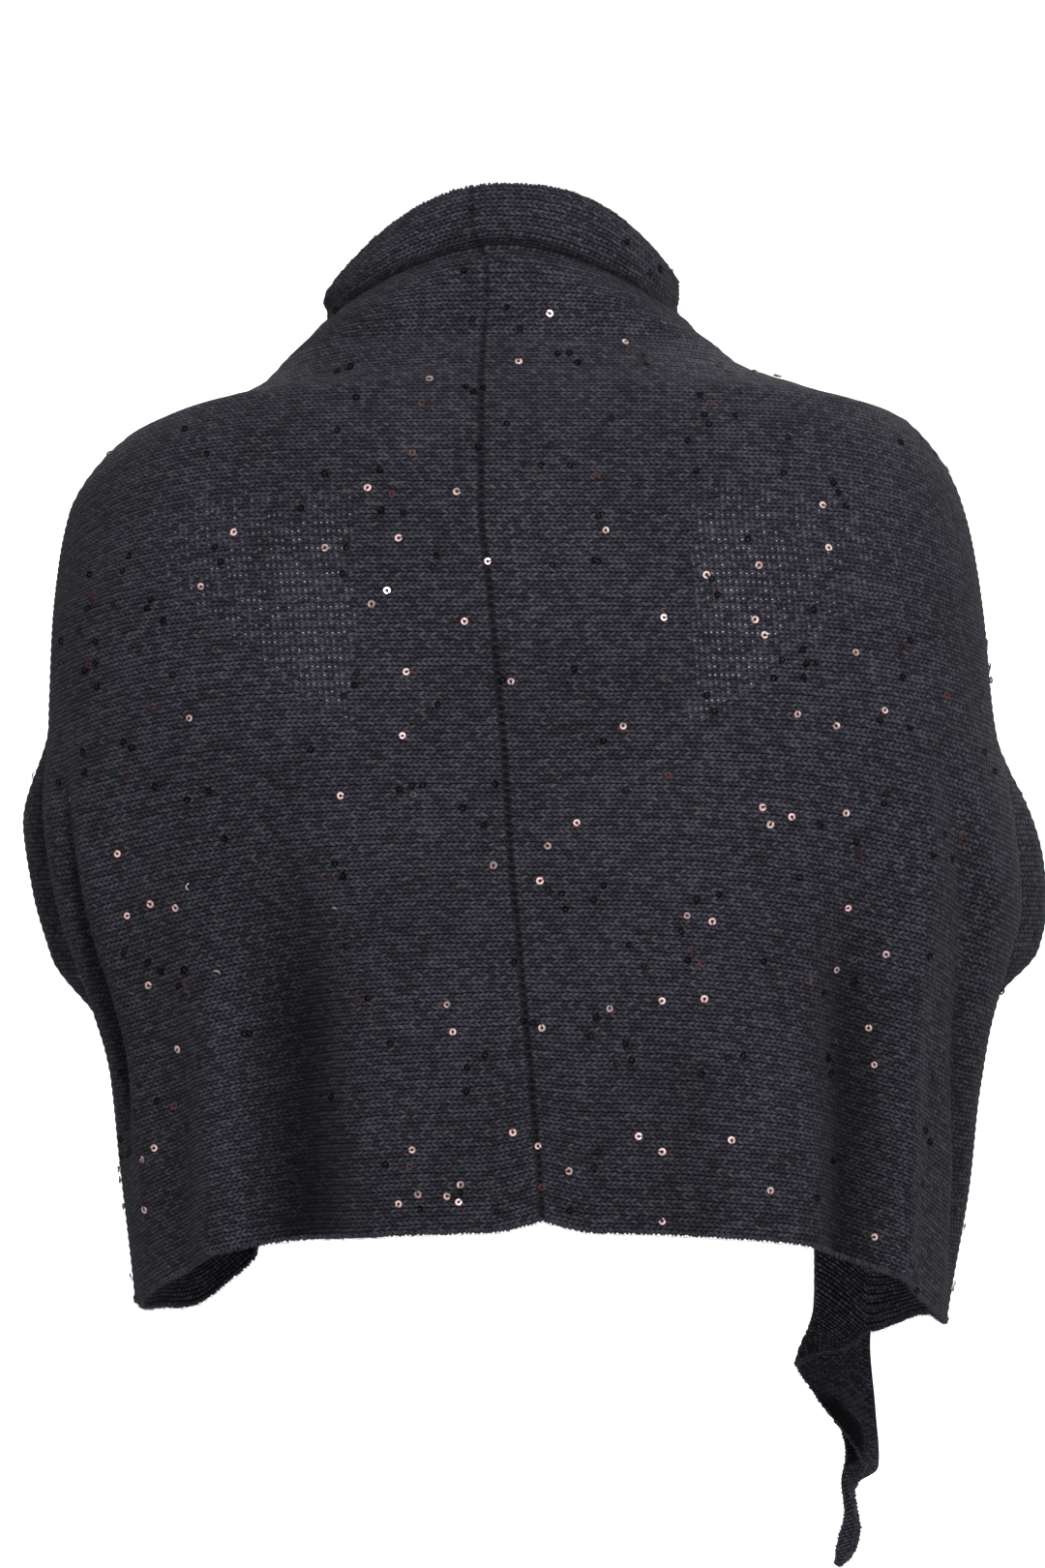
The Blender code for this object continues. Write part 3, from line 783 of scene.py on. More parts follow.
def end_finish(nodes, colour, bump, height, levels):
    """Give the shader its colour, its bump and its other levels."""
    strength, depth = bump
    normal = nodes.add("ShaderNodeBump", {
        "Strength": strength, "Distance": depth, "Height": height}).outputs["Normal"]
    shader = nodes.tree.nodes["Principled BSDF"]
    for name, value in {"Base Color": colour, "Normal": normal, **levels}.items():
        nodes.give(shader.inputs[name], value)


STITCH_SLANT = 0.85      # courses that a leg of a stitch leans over, from the middle of its wale
WANDER = 0.0015          # how far the stitches stray from their lines
SHADE_DEPTH = 0.74       # how much of the light the full shade takes
FIBRE_SHOWS = 0.5        # how much the fibres show in the colour of the yarn, and how they centre
FIBRE_BASE = 0.25
FIBRE_BUMP = 0.30        # and in its height
EVEN_TONE, TONE_SPREAD = 0.46, 0.88     # the least light on a stitch, and what chance adds to it
UNEVEN_GAPS = 0.62       # how unevenly the pulled knitting opens
PURL_GAP, KNIT_GAP, GAP_HEIGHT = 1.25, 0.75, 2.4     # the larger, the smaller the gaps are
SHEEN_TINT = (0.62, 0.62, 0.70, 1.0)
# Noises: their scale, detail and roughness.
STRAY_NOISE, TONE_NOISE, FIBRE_NOISE = (170.0, 2.0), (14.0, 3.0), (2600.0, 3.0, 0.65)
YARN_NOISE, PATCH_NOISE = (1900.0, 3.0), (230.0, 1.0)
FOIL_NOISE, SCRATCH_NOISE, PAPER_NOISE = (160.0, 2.0), (2400.0, 2.0), (3.0, 2.0)
# Ranges: where they begin and end, and what they become there, if not 0 and 1.
INNER_LEG = (0.45, 0.0, 0.0, 0.55)      # the yarn between the legs of a stitch
YARN_SHOWS = (0.20, 1.02)
FLECKS = (0.92, 1.0, 0.0, 0.35)
CLOUDS = (0.3, 0.7, 0.90, 1.10)
# SEAM_DARK and WALE_DARK are painted shade: in the seam's groove and in the grooves between wales.
SEAM_DARK = (0.36, 1.0, 1.0, 0.20)
WALE_DARK = (0.72, 1.0, 1.0, 0.55)
GAP_EDGE, GAPS_OPEN = (0.66, 0.38), (-0.04, 0.60)
YARN_TONES, PATCH_TONES = (0.35, 0.65), (0.35, 0.65, 0.75, 1.15)
FOIL_TONES, SCRATCHES = (0.35, 0.65, 0.40, 1.15), (0.35, 0.7)
# Bumps: their strength and depth.
KNIT_BUMP, YARN_BUMP, FOIL_BUMP = (0.85, 0.0009), (0.7, 0.0004), (0.15, 0.0002)


def yarn_levels(knit):
    """The levels of matt yarn with a soft sheen."""
    return {"Roughness": 0.92, "Specular IOR Level": 0.08, "Sheen Weight": knit.sheen,
            "Sheen Roughness": 0.45}


def knit_finish(name, knit, purl):
    """Knitted yarn: legs of stitches in wales on the right side, or arcs on the purl side. It has
    painted shade in folds, creases, the seam's groove and between wales, and painted light in the
    gaps of pulled knitting.
    """
    material, nodes = start_finish(name)
    calc, smooth = nodes.calc, nodes.smooth
    spot = nodes.add("ShaderNodeUVMap", uv_map="knit").outputs["UV"]
    stray = nodes.vector("SUBTRACT", nodes.noise(spot, *STRAY_NOISE)["Color"], (0.5, 0.5, 0.5))
    spot = nodes.vector("ADD", spot, nodes.vector("MULTIPLY", stray, (WANDER, WANDER, WANDER)))
    parts = nodes.add("ShaderNodeSeparateXYZ", {0: spot}).outputs
    wales = calc("DIVIDE", parts["Y"], knit.wale)
    courses = calc("DIVIDE", parts["X"], knit.course)
    halves = calc("MULTIPLY", wales, 2.0)
    side = calc("ABSOLUTE", calc("MULTIPLY_ADD", calc("FRACT", wales), 2.0, -1.0))
    if purl:
        lean = calc("MULTIPLY_ADD", calc("FLOOR", halves), 0.5, courses)
        leg = nodes.hump(calc("FRACT", halves))
    else:
        lean = calc("MULTIPLY_ADD", side, STITCH_SLANT, courses)
        leg = calc("SQRT", nodes.hump(side), clamp=True)
        leg = calc("MAXIMUM", leg, smooth(side, *INNER_LEG))
    across = nodes.hump(calc("FRACT", lean))
    yarn = calc("MULTIPLY", calc("SQRT", across, clamp=True), leg)
    fibre = nodes.noise(spot, *FIBRE_NOISE)["Fac"]
    each = nodes.chance(calc("FLOOR", lean), calc("FLOOR", halves))
    shown = calc("MULTIPLY_ADD", fibre, FIBRE_SHOWS, calc("SUBTRACT", yarn, FIBRE_BASE))
    light = (*(knit.purl if purl else knit.yarn), 1.0)
    colour = nodes.mix(smooth(shown, *YARN_SHOWS), (*knit.gap, 1.0), light)
    colour = nodes.mix(smooth(each, *FLECKS), colour, (*knit.fleck, 1.0))
    tone_and_shade = calc("MULTIPLY_ADD", each, TONE_SPREAD, EVEN_TONE)
    # Random cloudy tone, then painted shade: of folds, creases and tail (less the painted light
    # from the floor), of the seam's groove and of the grooves between wales.
    for level in (
            smooth(nodes.noise(nodes.place(), *TONE_NOISE)["Fac"], *CLOUDS),
            calc("MULTIPLY_ADD", nodes.attribute("shade"), -SHADE_DEPTH, 1.0),
            smooth(nodes.attribute("groove"), *SEAM_DARK),
            smooth(side, *WALE_DARK)):
        tone_and_shade = calc("MULTIPLY", tone_and_shade, level)
    colour = nodes.darken(colour, tone_and_shade)
    # Painted light: where the knitting is pulled open, its gaps take a pale colour that stands in
    # for light seen through them.
    near_gap = calc("MULTIPLY_ADD", across, PURL_GAP if purl else KNIT_GAP,
                    calc("MULTIPLY", calc("SUBTRACT", 1.0, side), GAP_HEIGHT))
    chosen = nodes.chance(*(calc("FLOOR", calc("ADD", line, 0.5)) for line in (lean, wales)))
    unevenly = calc("MULTIPLY_ADD", chosen, -UNEVEN_GAPS, nodes.attribute("stretched"))
    shine = calc("MULTIPLY", smooth(near_gap, *GAP_EDGE), smooth(unevenly, *GAPS_OPEN))
    colour = nodes.mix(shine, colour, (*knit.through, 1.0))
    end_finish(nodes, colour, KNIT_BUMP, calc("MULTIPLY_ADD", fibre, FIBRE_BUMP, yarn),
               {**yarn_levels(knit), "Sheen Tint": SHEEN_TINT})
    return material


def yarn_finish(name, knit, share):
    """The same yarn where it is sewn or cast off, in loose fibres."""
    material, nodes = start_finish(name)
    fibre = nodes.noise(nodes.place(), *YARN_NOISE)["Fac"]
    patch = nodes.noise(nodes.place(), *PATCH_NOISE)["Fac"]
    light = np.multiply(knit.yarn, share)
    colour = nodes.mix(nodes.smooth(fibre, *YARN_TONES), (*(0.45 * light), 1.0), (*light, 1.0))
    colour = nodes.darken(colour, nodes.smooth(patch, *PATCH_TONES))
    end_finish(nodes, colour, YARN_BUMP, fibre, yarn_levels(knit))
    return material


def sequin_finish(name, colour, metal, roughness, shine):
    """Glossy foil on a plastic ring, slightly scratched and uneven from one ring to the next."""
    material, nodes = start_finish(name)
    patch = nodes.noise(nodes.place(), *FOIL_NOISE)["Fac"]
    scratch = nodes.noise(nodes.place(), *SCRATCH_NOISE)["Fac"]
    colour = nodes.darken((*colour, 1.0), nodes.smooth(patch, *FOIL_TONES))
    end_finish(nodes, colour, FOIL_BUMP, scratch, {
        "Roughness": nodes.smooth(scratch, *SCRATCHES, roughness, roughness + 0.15),
        "Metallic": metal, "Specular IOR Level": shine})
    return material


def start_tree(name, *sizes):
    """Begin a tree that takes points, sizes and a material, with its inputs' identifiers."""
    tree = bpy.data.node_groups.new(name, "GeometryNodeTree")
    for way in ("OUTPUT", "INPUT"):
        tree.interface.new_socket(name="Geometry", in_out=way, socket_type="NodeSocketGeometry")
    kinds = {**dict.fromkeys((*sizes, "Tilt"), "Float"), "Seed": "Int", "Material": "Material"}
    sockets = {
        label: tree.interface.new_socket(
            name=label, in_out="INPUT", socket_type="NodeSocket" + kind).identifier
        for label, kind in kinds.items()}
    nodes = Nodes(tree)
    return nodes, sockets, nodes.add("NodeGroupInput").outputs


def finish_tree(nodes, given, shape):
    """Put a shape on every point, turned to its directions and a little uneven, as a real mesh."""
    up, across = (
        nodes.add("GeometryNodeInputNamedAttribute", {"Name": name}, data_type="FLOAT_VECTOR")
        .outputs["Attribute"] for name in ("up", "across"))
    turned = nodes.add("FunctionNodeAxesToRotation", {0: up, 1: across},
                       primary_axis="Z", secondary_axis="X")
    lean = nodes.add("FunctionNodeRandomValue", {"Seed": given["Seed"]}, data_type="FLOAT_VECTOR")
    nodes.give(lean.inputs[0], nodes.calc("MULTIPLY", given["Tilt"], -1.0))
    nodes.give(lean.inputs[1], given["Tilt"])
    uneven = nodes.add("FunctionNodeEulerToRotation", {0: lean.outputs[0]})
    rotation = nodes.add("FunctionNodeRotateRotation",
                         {0: turned.outputs[0], 1: uneven.outputs[0]}, rotation_space="LOCAL")
    size = nodes.add("FunctionNodeRandomValue", {2: SMALLEST, 3: LARGEST, "Seed": given["Seed"]},
                     data_type="FLOAT")
    on_points = nodes.add("GeometryNodeInstanceOnPoints", {
        "Points": given["Geometry"], "Instance": shape,
        "Rotation": rotation.outputs[0], "Scale": size.outputs[1]})
    real = nodes.add("GeometryNodeRealizeInstances", {"Geometry": on_points.outputs[0]})
    finish = nodes.add("GeometryNodeSetMaterial",
                       {"Geometry": real.outputs[0], "Material": given["Material"]})
    nodes.add("NodeGroupOutput", {0: finish.outputs[0]})


SMALLEST, LARGEST = 0.92, 1.08     # how unevenly big stitches and sequins are


@lru_cache(maxsize=None)
def stitch_tree():
    """Short arcs of yarn, each with both ends in the cloth."""
    nodes, sockets, given = start_tree("Sewn stitches", "Span", "Rise", "Yarn radius")
    half = nodes.calc("MULTIPLY", given["Span"], 0.5)
    start, top, end = (
        nodes.add("ShaderNodeCombineXYZ", {axis: value}).outputs[0] for axis, value in (
            ("X", nodes.calc("MULTIPLY", half, -1.0)),
            ("Z", nodes.calc("MULTIPLY", given["Rise"], 2.0)), ("X", half)))
    arc = nodes.add("GeometryNodeCurveQuadraticBezier",
                    {"Resolution": 5, "Start": start, "Middle": top, "End": end})
    ring = nodes.add("GeometryNodeCurvePrimitiveCircle",
                     {"Resolution": 6, "Radius": given["Yarn radius"]})
    yarn = nodes.add("GeometryNodeCurveToMesh", {
        "Curve": arc.outputs[0], "Profile Curve": ring.outputs["Curve"], "Fill Caps": True})
    finish_tree(nodes, given, yarn.outputs[0])
    return nodes.tree, sockets


@lru_cache(maxsize=None)
def sequin_tree():
    """Flat rings that lie on the cloth."""
    nodes, sockets, given = start_tree("Ring sequins", "Diameter", "Hole", "Thickness")
    middle = nodes.calc("MULTIPLY", nodes.calc("ADD", given["Diameter"], given["Hole"]), 0.25)
    width = nodes.calc("MULTIPLY", nodes.calc("SUBTRACT", given["Diameter"], given["Hole"]), 0.5)
    ring = nodes.add("GeometryNodeCurvePrimitiveCircle", {"Resolution": 14, "Radius": middle})
    band = nodes.add("GeometryNodeCurvePrimitiveQuadrilateral",
                     {"Width": width, "Height": given["Thickness"]})
    sequin = nodes.add("GeometryNodeCurveToMesh",
                       {"Curve": ring.outputs["Curve"], "Profile Curve": band.outputs[0]})
    flat = nodes.add("GeometryNodeSetShadeSmooth",
                     {"Geometry": sequin.outputs[0], "Shade Smooth": False})
    finish_tree(nodes, given, flat.outputs[0])
    return nodes.tree, sockets


def grow(name, kind, slot, points, ups, sides, **sizes):
    """Run a tree on points, and keep what grows as a plain mesh that rides on the poncho."""
    mesh = bpy.data.meshes.new(name + "_points")
    mesh.from_pydata(np.asarray(points).tolist(), [], [])
    for label, vectors in (("up", ups), ("across", sides)):
        layer = mesh.attributes.new(label, "FLOAT_VECTOR", "POINT")
        layer.data.foreach_set("vector", np.asarray(vectors, dtype=np.float32).ravel())
    carrier = keep(name + "_points", mesh)
    modifier = carrier.modifiers.new("Grow", "NODES")
    modifier.node_group, sockets = kind
    for label, value in sizes.items():
        modifier[sockets[label.replace("_", " ").capitalize()]] = value
    bpy.context.view_layer.update()
    result = bpy.data.meshes.new_from_object(
        carrier.evaluated_get(bpy.context.evaluated_depsgraph_get()))
    carrier.modifiers.remove(modifier)
    bpy.data.objects.remove(carrier)
    bpy.data.meshes.remove(mesh)
    result.name = name
    show(keep(name, result), slot)


PALE_ON_BACK = (         # pale sequins as seen from behind, in mm from the neck: across and up
    (14, 33), (53, 18), (-2, 8), (-48, -1), (-80, -57), (-34, -59), (155, -66), (43, -79),
    (-149, -80), (-64, -83), (-102, -88), (158, -88), (-18, -95), (122, -97), (95, -102),
    (-166, -108), (-70, -110), (-78, -117), (73, -124), (120, -125), (-30, -126), (125, -133),
    (172, -142), (-60, -152), (-6, -157), (187, -172), (142, -174), (-172, -176), (52, -180),
    (162, -180), (-62, -185), (-94, -216), (124, -222), (167, -225), (139, -227), (28, -230),
    (128, -231), (13, -242), (-209, -246), (-15, -252), (9, -260), (-172, -263), (-192, -272),
    (168, -274), (-179, -274), (-97, -275), (-204, -278), (85, -278), (98, -281), (-164, -292),
    (188, -298), (162, -306), (-158, -308), (-193, -314), (94, -321), (72, -322), (-39, -324),
    (45, -326), (10, -336), (179, -336), (-36, -338), (-178, -347), (182, -355), (-5, -390),
    (60, -392), (108, -394), (8, -397), (-190, -398), (-57, -399), (72, -400), (-196, -404),
    (24, -410), (-32, -417), (128, -420), (-54, -422), (-39, -423), (-33, -426), (-64, -427),
    (-195, -430), (72, -436), (182, -444),
)
VIEW_FROM = (0.0, -5.0, -0.21)
CLUSTER = 0.010          # how far from its first sequin a cluster spreads
STEP_AWAY = 0.6          # how far one step of a cluster goes, as a share of that
APART = 0.0045           # the least distance between two sequins of a cluster
ONE_MORE = 0.38          # chance that a cluster goes on
OUTWARD = 0.25           # least turn outwards of a face that carries sequins
STANDING_OUT = 0.0007    # from the cloth to the middle of a sequin


@lru_cache(maxsize=None)
def solid_skin():
    """The solids' faces as one tree, and those that look outwards, with their areas."""
    corners, faces = [], []
    for stretch, side in product(("collar", "back", "front"), ("left", "right")):
        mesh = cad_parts[f"{stretch}_{side}"].data
        places = np.empty(len(mesh.vertices) * 3)
        mesh.vertices.foreach_get("co", places)
        mesh.calc_loop_triangles()
        triangles = np.empty(len(mesh.loop_triangles) * 3, dtype=int)
        mesh.loop_triangles.foreach_get("vertices", triangles)
        faces.append(triangles.reshape(-1, 3) + sum(len(part) for part in corners))
        corners.append(places.reshape(-1, 3))
    corners, faces = np.concatenate(corners), np.concatenate(faces)
    sides = corners[faces]
    cross = np.cross(sides[:, 1] - sides[:, 0], sides[:, 2] - sides[:, 0])
    area = 0.5 * np.linalg.norm(cross, axis=1)
    centre = sides.mean(axis=1)
    outward = (cross[:, :2] * centre[:, :2]).sum(axis=1) / np.maximum(2.0 * area, TINY)
    outward /= np.maximum(np.linalg.norm(centre[:, :2], axis=1), TINY)
    area = np.where(outward > OUTWARD, area, 0.0)
    return BVHTree.FromPolygons(corners.tolist(), faces.tolist()), sides, area


def scattered(count, random):
    """Random places on the outside of the cloth, with the outward direction at each."""
    skin, sides, area = solid_skin()
    chosen = random.choice(len(area), size=count, p=area / area.sum())
    first, second = np.sqrt(random.random(count)), random.random(count)
    weights = np.stack((1.0 - first, first * (1.0 - second), first * second), axis=1)
    places = (sides[chosen] * weights[:, :, None]).sum(axis=1)
    return [(Vector(place), skin.find_nearest(Vector(place))[1]) for place in places]


def clustered(count, random):
    """Places in loose clusters, most of them of one to three."""
    skin, found = solid_skin()[0], []
    for place, normal in scattered(count, random):
        found.append((place, normal))
        while random.random() < ONE_MORE:
            step = Vector(random.normal(size=3) * CLUSTER * STEP_AWAY)
            near, facing, _, _ = skin.find_nearest(place + step - normal * step.dot(normal))
            if facing.dot(normal) > 0.5 and (near - place).length > APART:
                found.append((near, facing))
    return found


def pale_on_back():
    """The pale sequins on the back, each where it is seen."""
    skin, eye, found = solid_skin()[0], Vector(VIEW_FROM), []
    for across, up in PALE_ON_BACK:
        ray = Vector((across * 0.001, 0.0, up * 0.001)) - eye
        place, normal, _, _ = skin.ray_cast(eye, ray.normalized())
        if place is not None:
            found.append((place, normal))
    return found


def length(name, description, default, low, high=0.02, precision=4):
    """A length that a user may change."""
    return FloatProperty(
        name=name, description=description, default=default, min=low, max=high,
        precision=precision, unit="LENGTH", subtype="DISTANCE")


def colour(name, description, default):
    """A colour that a user may change."""
    return FloatVectorProperty(
        name=name, description=description, default=default, size=3, min=0.0, max=1.0,
        subtype="COLOR")


def power(name, description, default):
    """The power of a lamp, which a user may change."""
    return FloatProperty(
        name=name, description=description, default=default, min=0.0, unit="POWER")


class KnitSettings(bpy.types.PropertyGroup):
    """Sizes and colours of the knitting."""
    wale: length("Wale pitch", "Height of one line of stitches", 0.0043, 0.002)
    course: length("Course pitch", "Width of one stitch along its line", 0.0030, 0.001)
    relief: length("Relief", "Depth of the grooves between the lines", 0.0004, 0.0, 0.001, 5)
    sheen: FloatProperty(
        name="Sheen", description="Soft light caught by the fibres", default=0.05,
        min=0.0, max=1.0, subtype="FACTOR")
    yarn: colour("Yarn", "Colour of the yarn on the right side", (0.042, 0.041, 0.054))
    # Lighter than the yarn on the right side: painted light that lifts the shaded inside.
    purl: colour("Purl side", "Colour of the yarn on the inside", (0.050, 0.048, 0.061))
    gap: colour("Gaps", "Colour of the shaded gaps between stitches", (0.0025, 0.0025, 0.0035))
    fleck: colour("Flecks", "Colour of the brownish fibres in the yarn", (0.050, 0.040, 0.040))
    # Painted light, standing in for light seen through the gaps of pulled knitting.
    through: colour("Light through", "Colour of the gaps of pulled knitting", (0.40, 0.40, 0.43))


class SewingSettings(bpy.types.PropertyGroup):
    """Sizes of the stitches along the seams and edges."""
    radius: length("Yarn radius", "Radius of the sewing yarn", 0.00075, 0.0002, 0.003, 5)
    span: length("Seam stitch", "Width of a stitch across a seam", 0.0042, 0.001)
    edge_pitch: length("Edge pitch", "Distance between two stitches along an edge", 0.0021, 0.001)
    fibre_pitch: length(
        "Fibre pitch", "Distance between two loose fibres along an edge", 0.0013, 0.0005)
    seed: IntProperty(name="Seed", description="Start of the unevenness", default=7, min=0)


class SequinSettings(bpy.types.PropertyGroup):
    """Sizes, colours and numbers of the ring sequins."""
    diameter: length("Diameter", "Diameter of a ring", 0.0037, 0.002)
    hole: length("Hole", "Diameter of the hole in a ring", 0.0016, 0.0005, 0.01)
    thickness: length("Thickness", "Thickness of a ring", 0.00022, 0.0001, 0.001, 5)
    dark_clusters: IntProperty(
        name="Dark clusters", description="Clusters of dark rings", default=380, min=0, max=2000)
    pale_in_front: IntProperty(
        name="Pale in front", description="Pale rings scattered over the front", default=75,
        min=0, max=500)
    pale: colour("Pale rings", "Colour of the pale copper rings", (0.66, 0.44, 0.42))
    brown: colour("Brown rings", "Colour of the dull brown rings", (0.060, 0.026, 0.022))
    black: colour("Black rings", "Colour of the black rings", (0.003, 0.003, 0.004))
    seed: IntProperty(name="Seed", description="Start of the scatter", default=11, min=0)


class StudioSettings(bpy.types.PropertyGroup):
    """The floor and the light of the studio."""
    floor: FloatProperty(
        name="Floor height", description="Height of the floor", default=-0.72, unit="LENGTH",
        subtype="DISTANCE")
    key: power("Key light", "Power of the narrow light above the camera", 6.3)
    fill: power("Fill light", "Power of the large light beside the camera", 14.0)
    front: power("Front light", "Power of the light on the side away from the camera", 45.0)
    backdrop: FloatProperty(
        name="Backdrop light", description="Strength of the light on the backdrop", default=0.85,
        min=0.0)
    world: FloatProperty(
        name="Surroundings", description="Strength of the white surroundings", default=0.30,
        min=0.0)


FLOOR_HALF_WIDTH = 9.0
FLOOR_FRONT = -9.0
FLOOR_BACK = 12.0        # where the floor begins to rise into the backdrop
SWEEP_RADIUS = 1.8
SWEEP_STEPS = 17
BACKDROP_TOP = 4.5
LIT_FROM = (0.5, 2.2)    # where the light on the floor behind begins and is full
PHOTO_HEIGHT = 0.81      # height that the picture covers, at the neck
SENSOR = 36.0
FAR = 60.0
WHITE = (1.0, 1.0, 1.0, 1.0)
PAPER = ((0.90, 0.90, 0.90, 1.0), (0.93, 0.93, 0.93, 1.0))


def add_lamp(name, place, size, power, target, spread=180.0):
    """A soft lamp that points to a target, whose beam may be narrowed to a number of degrees."""
    data = bpy.data.lights.new(name, "AREA")
    data.shape = "RECTANGLE"
    data.size, data.size_y = size
    data.energy = power
    data.spread = math.radians(spread)
    lamp = keep(name, data)
    lamp.location = place
    lamp.rotation_euler = (Vector(target) - lamp.location).to_track_quat("-Z", "Y").to_euler()


class PONCHO_OT_studio(bpy.types.Operator):
    """Set up the pale floor, the soft light and the camera behind the wearer"""
    bl_idname = "poncho.studio"
    bl_label = "Studio"

    def execute(self, context):
        scene, studio = context.scene, context.scene.poncho_studio
        scene.view_settings.view_transform = "Standard"
        sweep = [(FLOOR_BACK + SWEEP_RADIUS * math.sin(angle),
                  studio.floor + SWEEP_RADIUS * (1.0 - math.cos(angle)))
                 for angle in np.linspace(0.0, 0.5 * math.pi, SWEEP_STEPS)]
        profile = [(FLOOR_FRONT, studio.floor), *sweep, (FLOOR_BACK + SWEEP_RADIUS, BACKDROP_TOP)]
        points = [(side * FLOOR_HALF_WIDTH, y, z) for y, z in profile for side in (-1.0, 1.0)]
        mesh = bpy.data.meshes.new("studio_floor")
        mesh.from_pydata(points, [], quads(np.arange(len(points)).reshape(-1, 2)).tolist())
        mesh.shade_smooth()
        paper, nodes = start_finish("Studio paper")
        shader = nodes.tree.nodes["Principled BSDF"].inputs
        grain = nodes.noise(nodes.place(), *PAPER_NOISE)["Fac"]
        deep = nodes.add("ShaderNodeSeparateXYZ", {0: nodes.place()}).outputs["Y"]
        # The paper glows from LIT_FROM onwards behind the poncho: painted light standing in for a
        # lit floor and backdrop.
        for name, value in {
                "Base Color": nodes.mix(grain, *PAPER), "Roughness": 0.85, "Emission Color": WHITE,
                "Emission Strength": nodes.smooth(deep, *LIT_FROM, 0.0, studio.backdrop)}.items():
            nodes.give(shader[name], value)
        mesh.materials.append(paper)
        floor = keep("studio_floor", mesh)
        scene.world = bpy.data.worlds.new("Studio surroundings")
        scene.world.use_nodes = True
        sky = scene.world.node_tree.nodes["Background"].inputs
        sky["Color"].default_value = WHITE
        sky["Strength"].default_value = studio.world
        add_lamp("key_light", (0.5, -3.6, 1.6), (0.7, 0.6), studio.key, (0.05, 0.0, -0.10), 31.0)
        add_lamp("fill_light", (2.2, -3.2, 0.3), (1.6, 1.6), studio.fill, (0.0, 0.0, -0.25))
        add_lamp("front_light", (0.5, 1.7, 1.8), (1.6, 0.8), studio.front, (0.0, 0.0, -0.2))
        camera = keep("camera", bpy.data.cameras.new("camera"))
        camera.location = VIEW_FROM
        camera.rotation_euler = (0.5 * math.pi, 0.0, 0.0)
        camera.data.sensor_width = SENSOR
        camera.data.lens = SENSOR * -VIEW_FROM[1] / PHOTO_HEIGHT
        camera.data.clip_end = FAR
        scene.camera = camera
        return {"FINISHED"}


def show(piece, slot, *nodes):
    """Let a piece ride on the poncho and stand for its solids, which are hidden; its slot is not
    used.
    """
    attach(piece, "root")
    if nodes:
        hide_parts(*nodes)


class PONCHO_OT_left_panel(bpy.types.Operator):
    """Knit the left panel: half the collar, the left back and the left front"""
    bl_idname = "poncho.left_panel"
    bl_label = "Left Panel"

    def execute(self, context):
        knit = context.scene.poncho_knit
        *grid, places = left_grid(knit.wale)
        panel = make_panel("panel_left", knit, grid, places)
        show(panel, "knit", "collar_left", "back_left", "front_left")
        return {"FINISHED"}


class PONCHO_OT_right_panel(bpy.types.Operator):
    """Knit the right panel: half the collar, the right back and the right front with its tail"""
    bl_idname = "poncho.right_panel"
    bl_label = "Right Panel"

    def execute(self, context):
        knit = context.scene.poncho_knit
        *grid, places, tail, first, last = right_grid(knit.wale)
        columns = np.where(places < 0.0, top_column(-places), 3.0 + places)
        panel = make_panel("panel_right", knit, grid, columns, (tail, first, last))
        show(panel, "knit", "collar_right", "back_right", "front_right", "tail_right")
        return {"FINISHED"}


COARSE_FROM = 0.01       # how far down the coarse sewing begins, below the collar's finer seam
SEAM_DEPTH = 0.0011      # from the face of the cloth down to the seam's yarn
THICK_YARN = 1.1         # how much thicker the yarn is once it is sewn
LEANING = 0.45           # how far the stitches along an edge lean over
EDGE_DEPTH = 0.0015      # from the edge in to their middle
FUZZ = 0.0012            # how far to each side of the edge the fibres grow
FUZZ_RADIUS = 0.00009


class PONCHO_OT_seams(bpy.types.Operator):
    """Sew the two panels together down the back and down the front"""
    bl_idname = "poncho.seams"
    bl_label = "Seams"

    def execute(self, context):
        knit, sewing = context.scene.poncho_knit, context.scene.poncho_sewing
        points, row = left_grid(knit.wale)[:2]
        low = slice(int(np.searchsorted(row, COARSE_FROM)), None)
        normal, across = facing_of(points), along(points, 1)
        finish = yarn_finish("Sewing yarn", knit, 0.42)
        for name, column in (("back_seam_stitches", 0), ("front_seam_stitches", -1)):
            sewn = resample((points - SEAM_DEPTH * normal)[low, column], normal[low, column],
                            across[low, column], knit.wale)
            grow(name, stitch_tree(), "knit", *sewn, span=sewing.span, rise=0.0004, tilt=0.16,
                 yarn_radius=THICK_YARN * sewing.radius, seed=sewing.seed, material=finish)
        return {"FINISHED"}


def edge_points(knit, pitch):
    """Points along all edges of the cloth, the way beyond each and the way across the wall."""
    left = left_grid(knit.wale)[0]
    right, _, _, _, tail, first, last = right_grid(knit.wale)
    paths = []
    for grid, hems in ((left, (slice(None),)), (right, (slice(first + 1), slice(last, None)))):
        normal, lower = facing_of(grid), along(grid, 0)
        middle = grid - 0.5 * WALL * normal
        paths.append((middle[0], -lower[0], normal[0]))
        paths += [(middle[-1, hem], lower[-1, hem], normal[-1, hem]) for hem in hems]
    normal, side = facing_of(tail), along(tail, 1)
    middle = tail - 0.5 * WALL * normal
    paths.append((middle[:, 0], -side[:, 0], normal[:, 0]))
    paths.append((middle[:, -1], side[:, -1], normal[:, -1]))
    parts = [resample(*path, pitch) for path in paths]
    return tuple(np.concatenate(group) for group in zip(*parts))


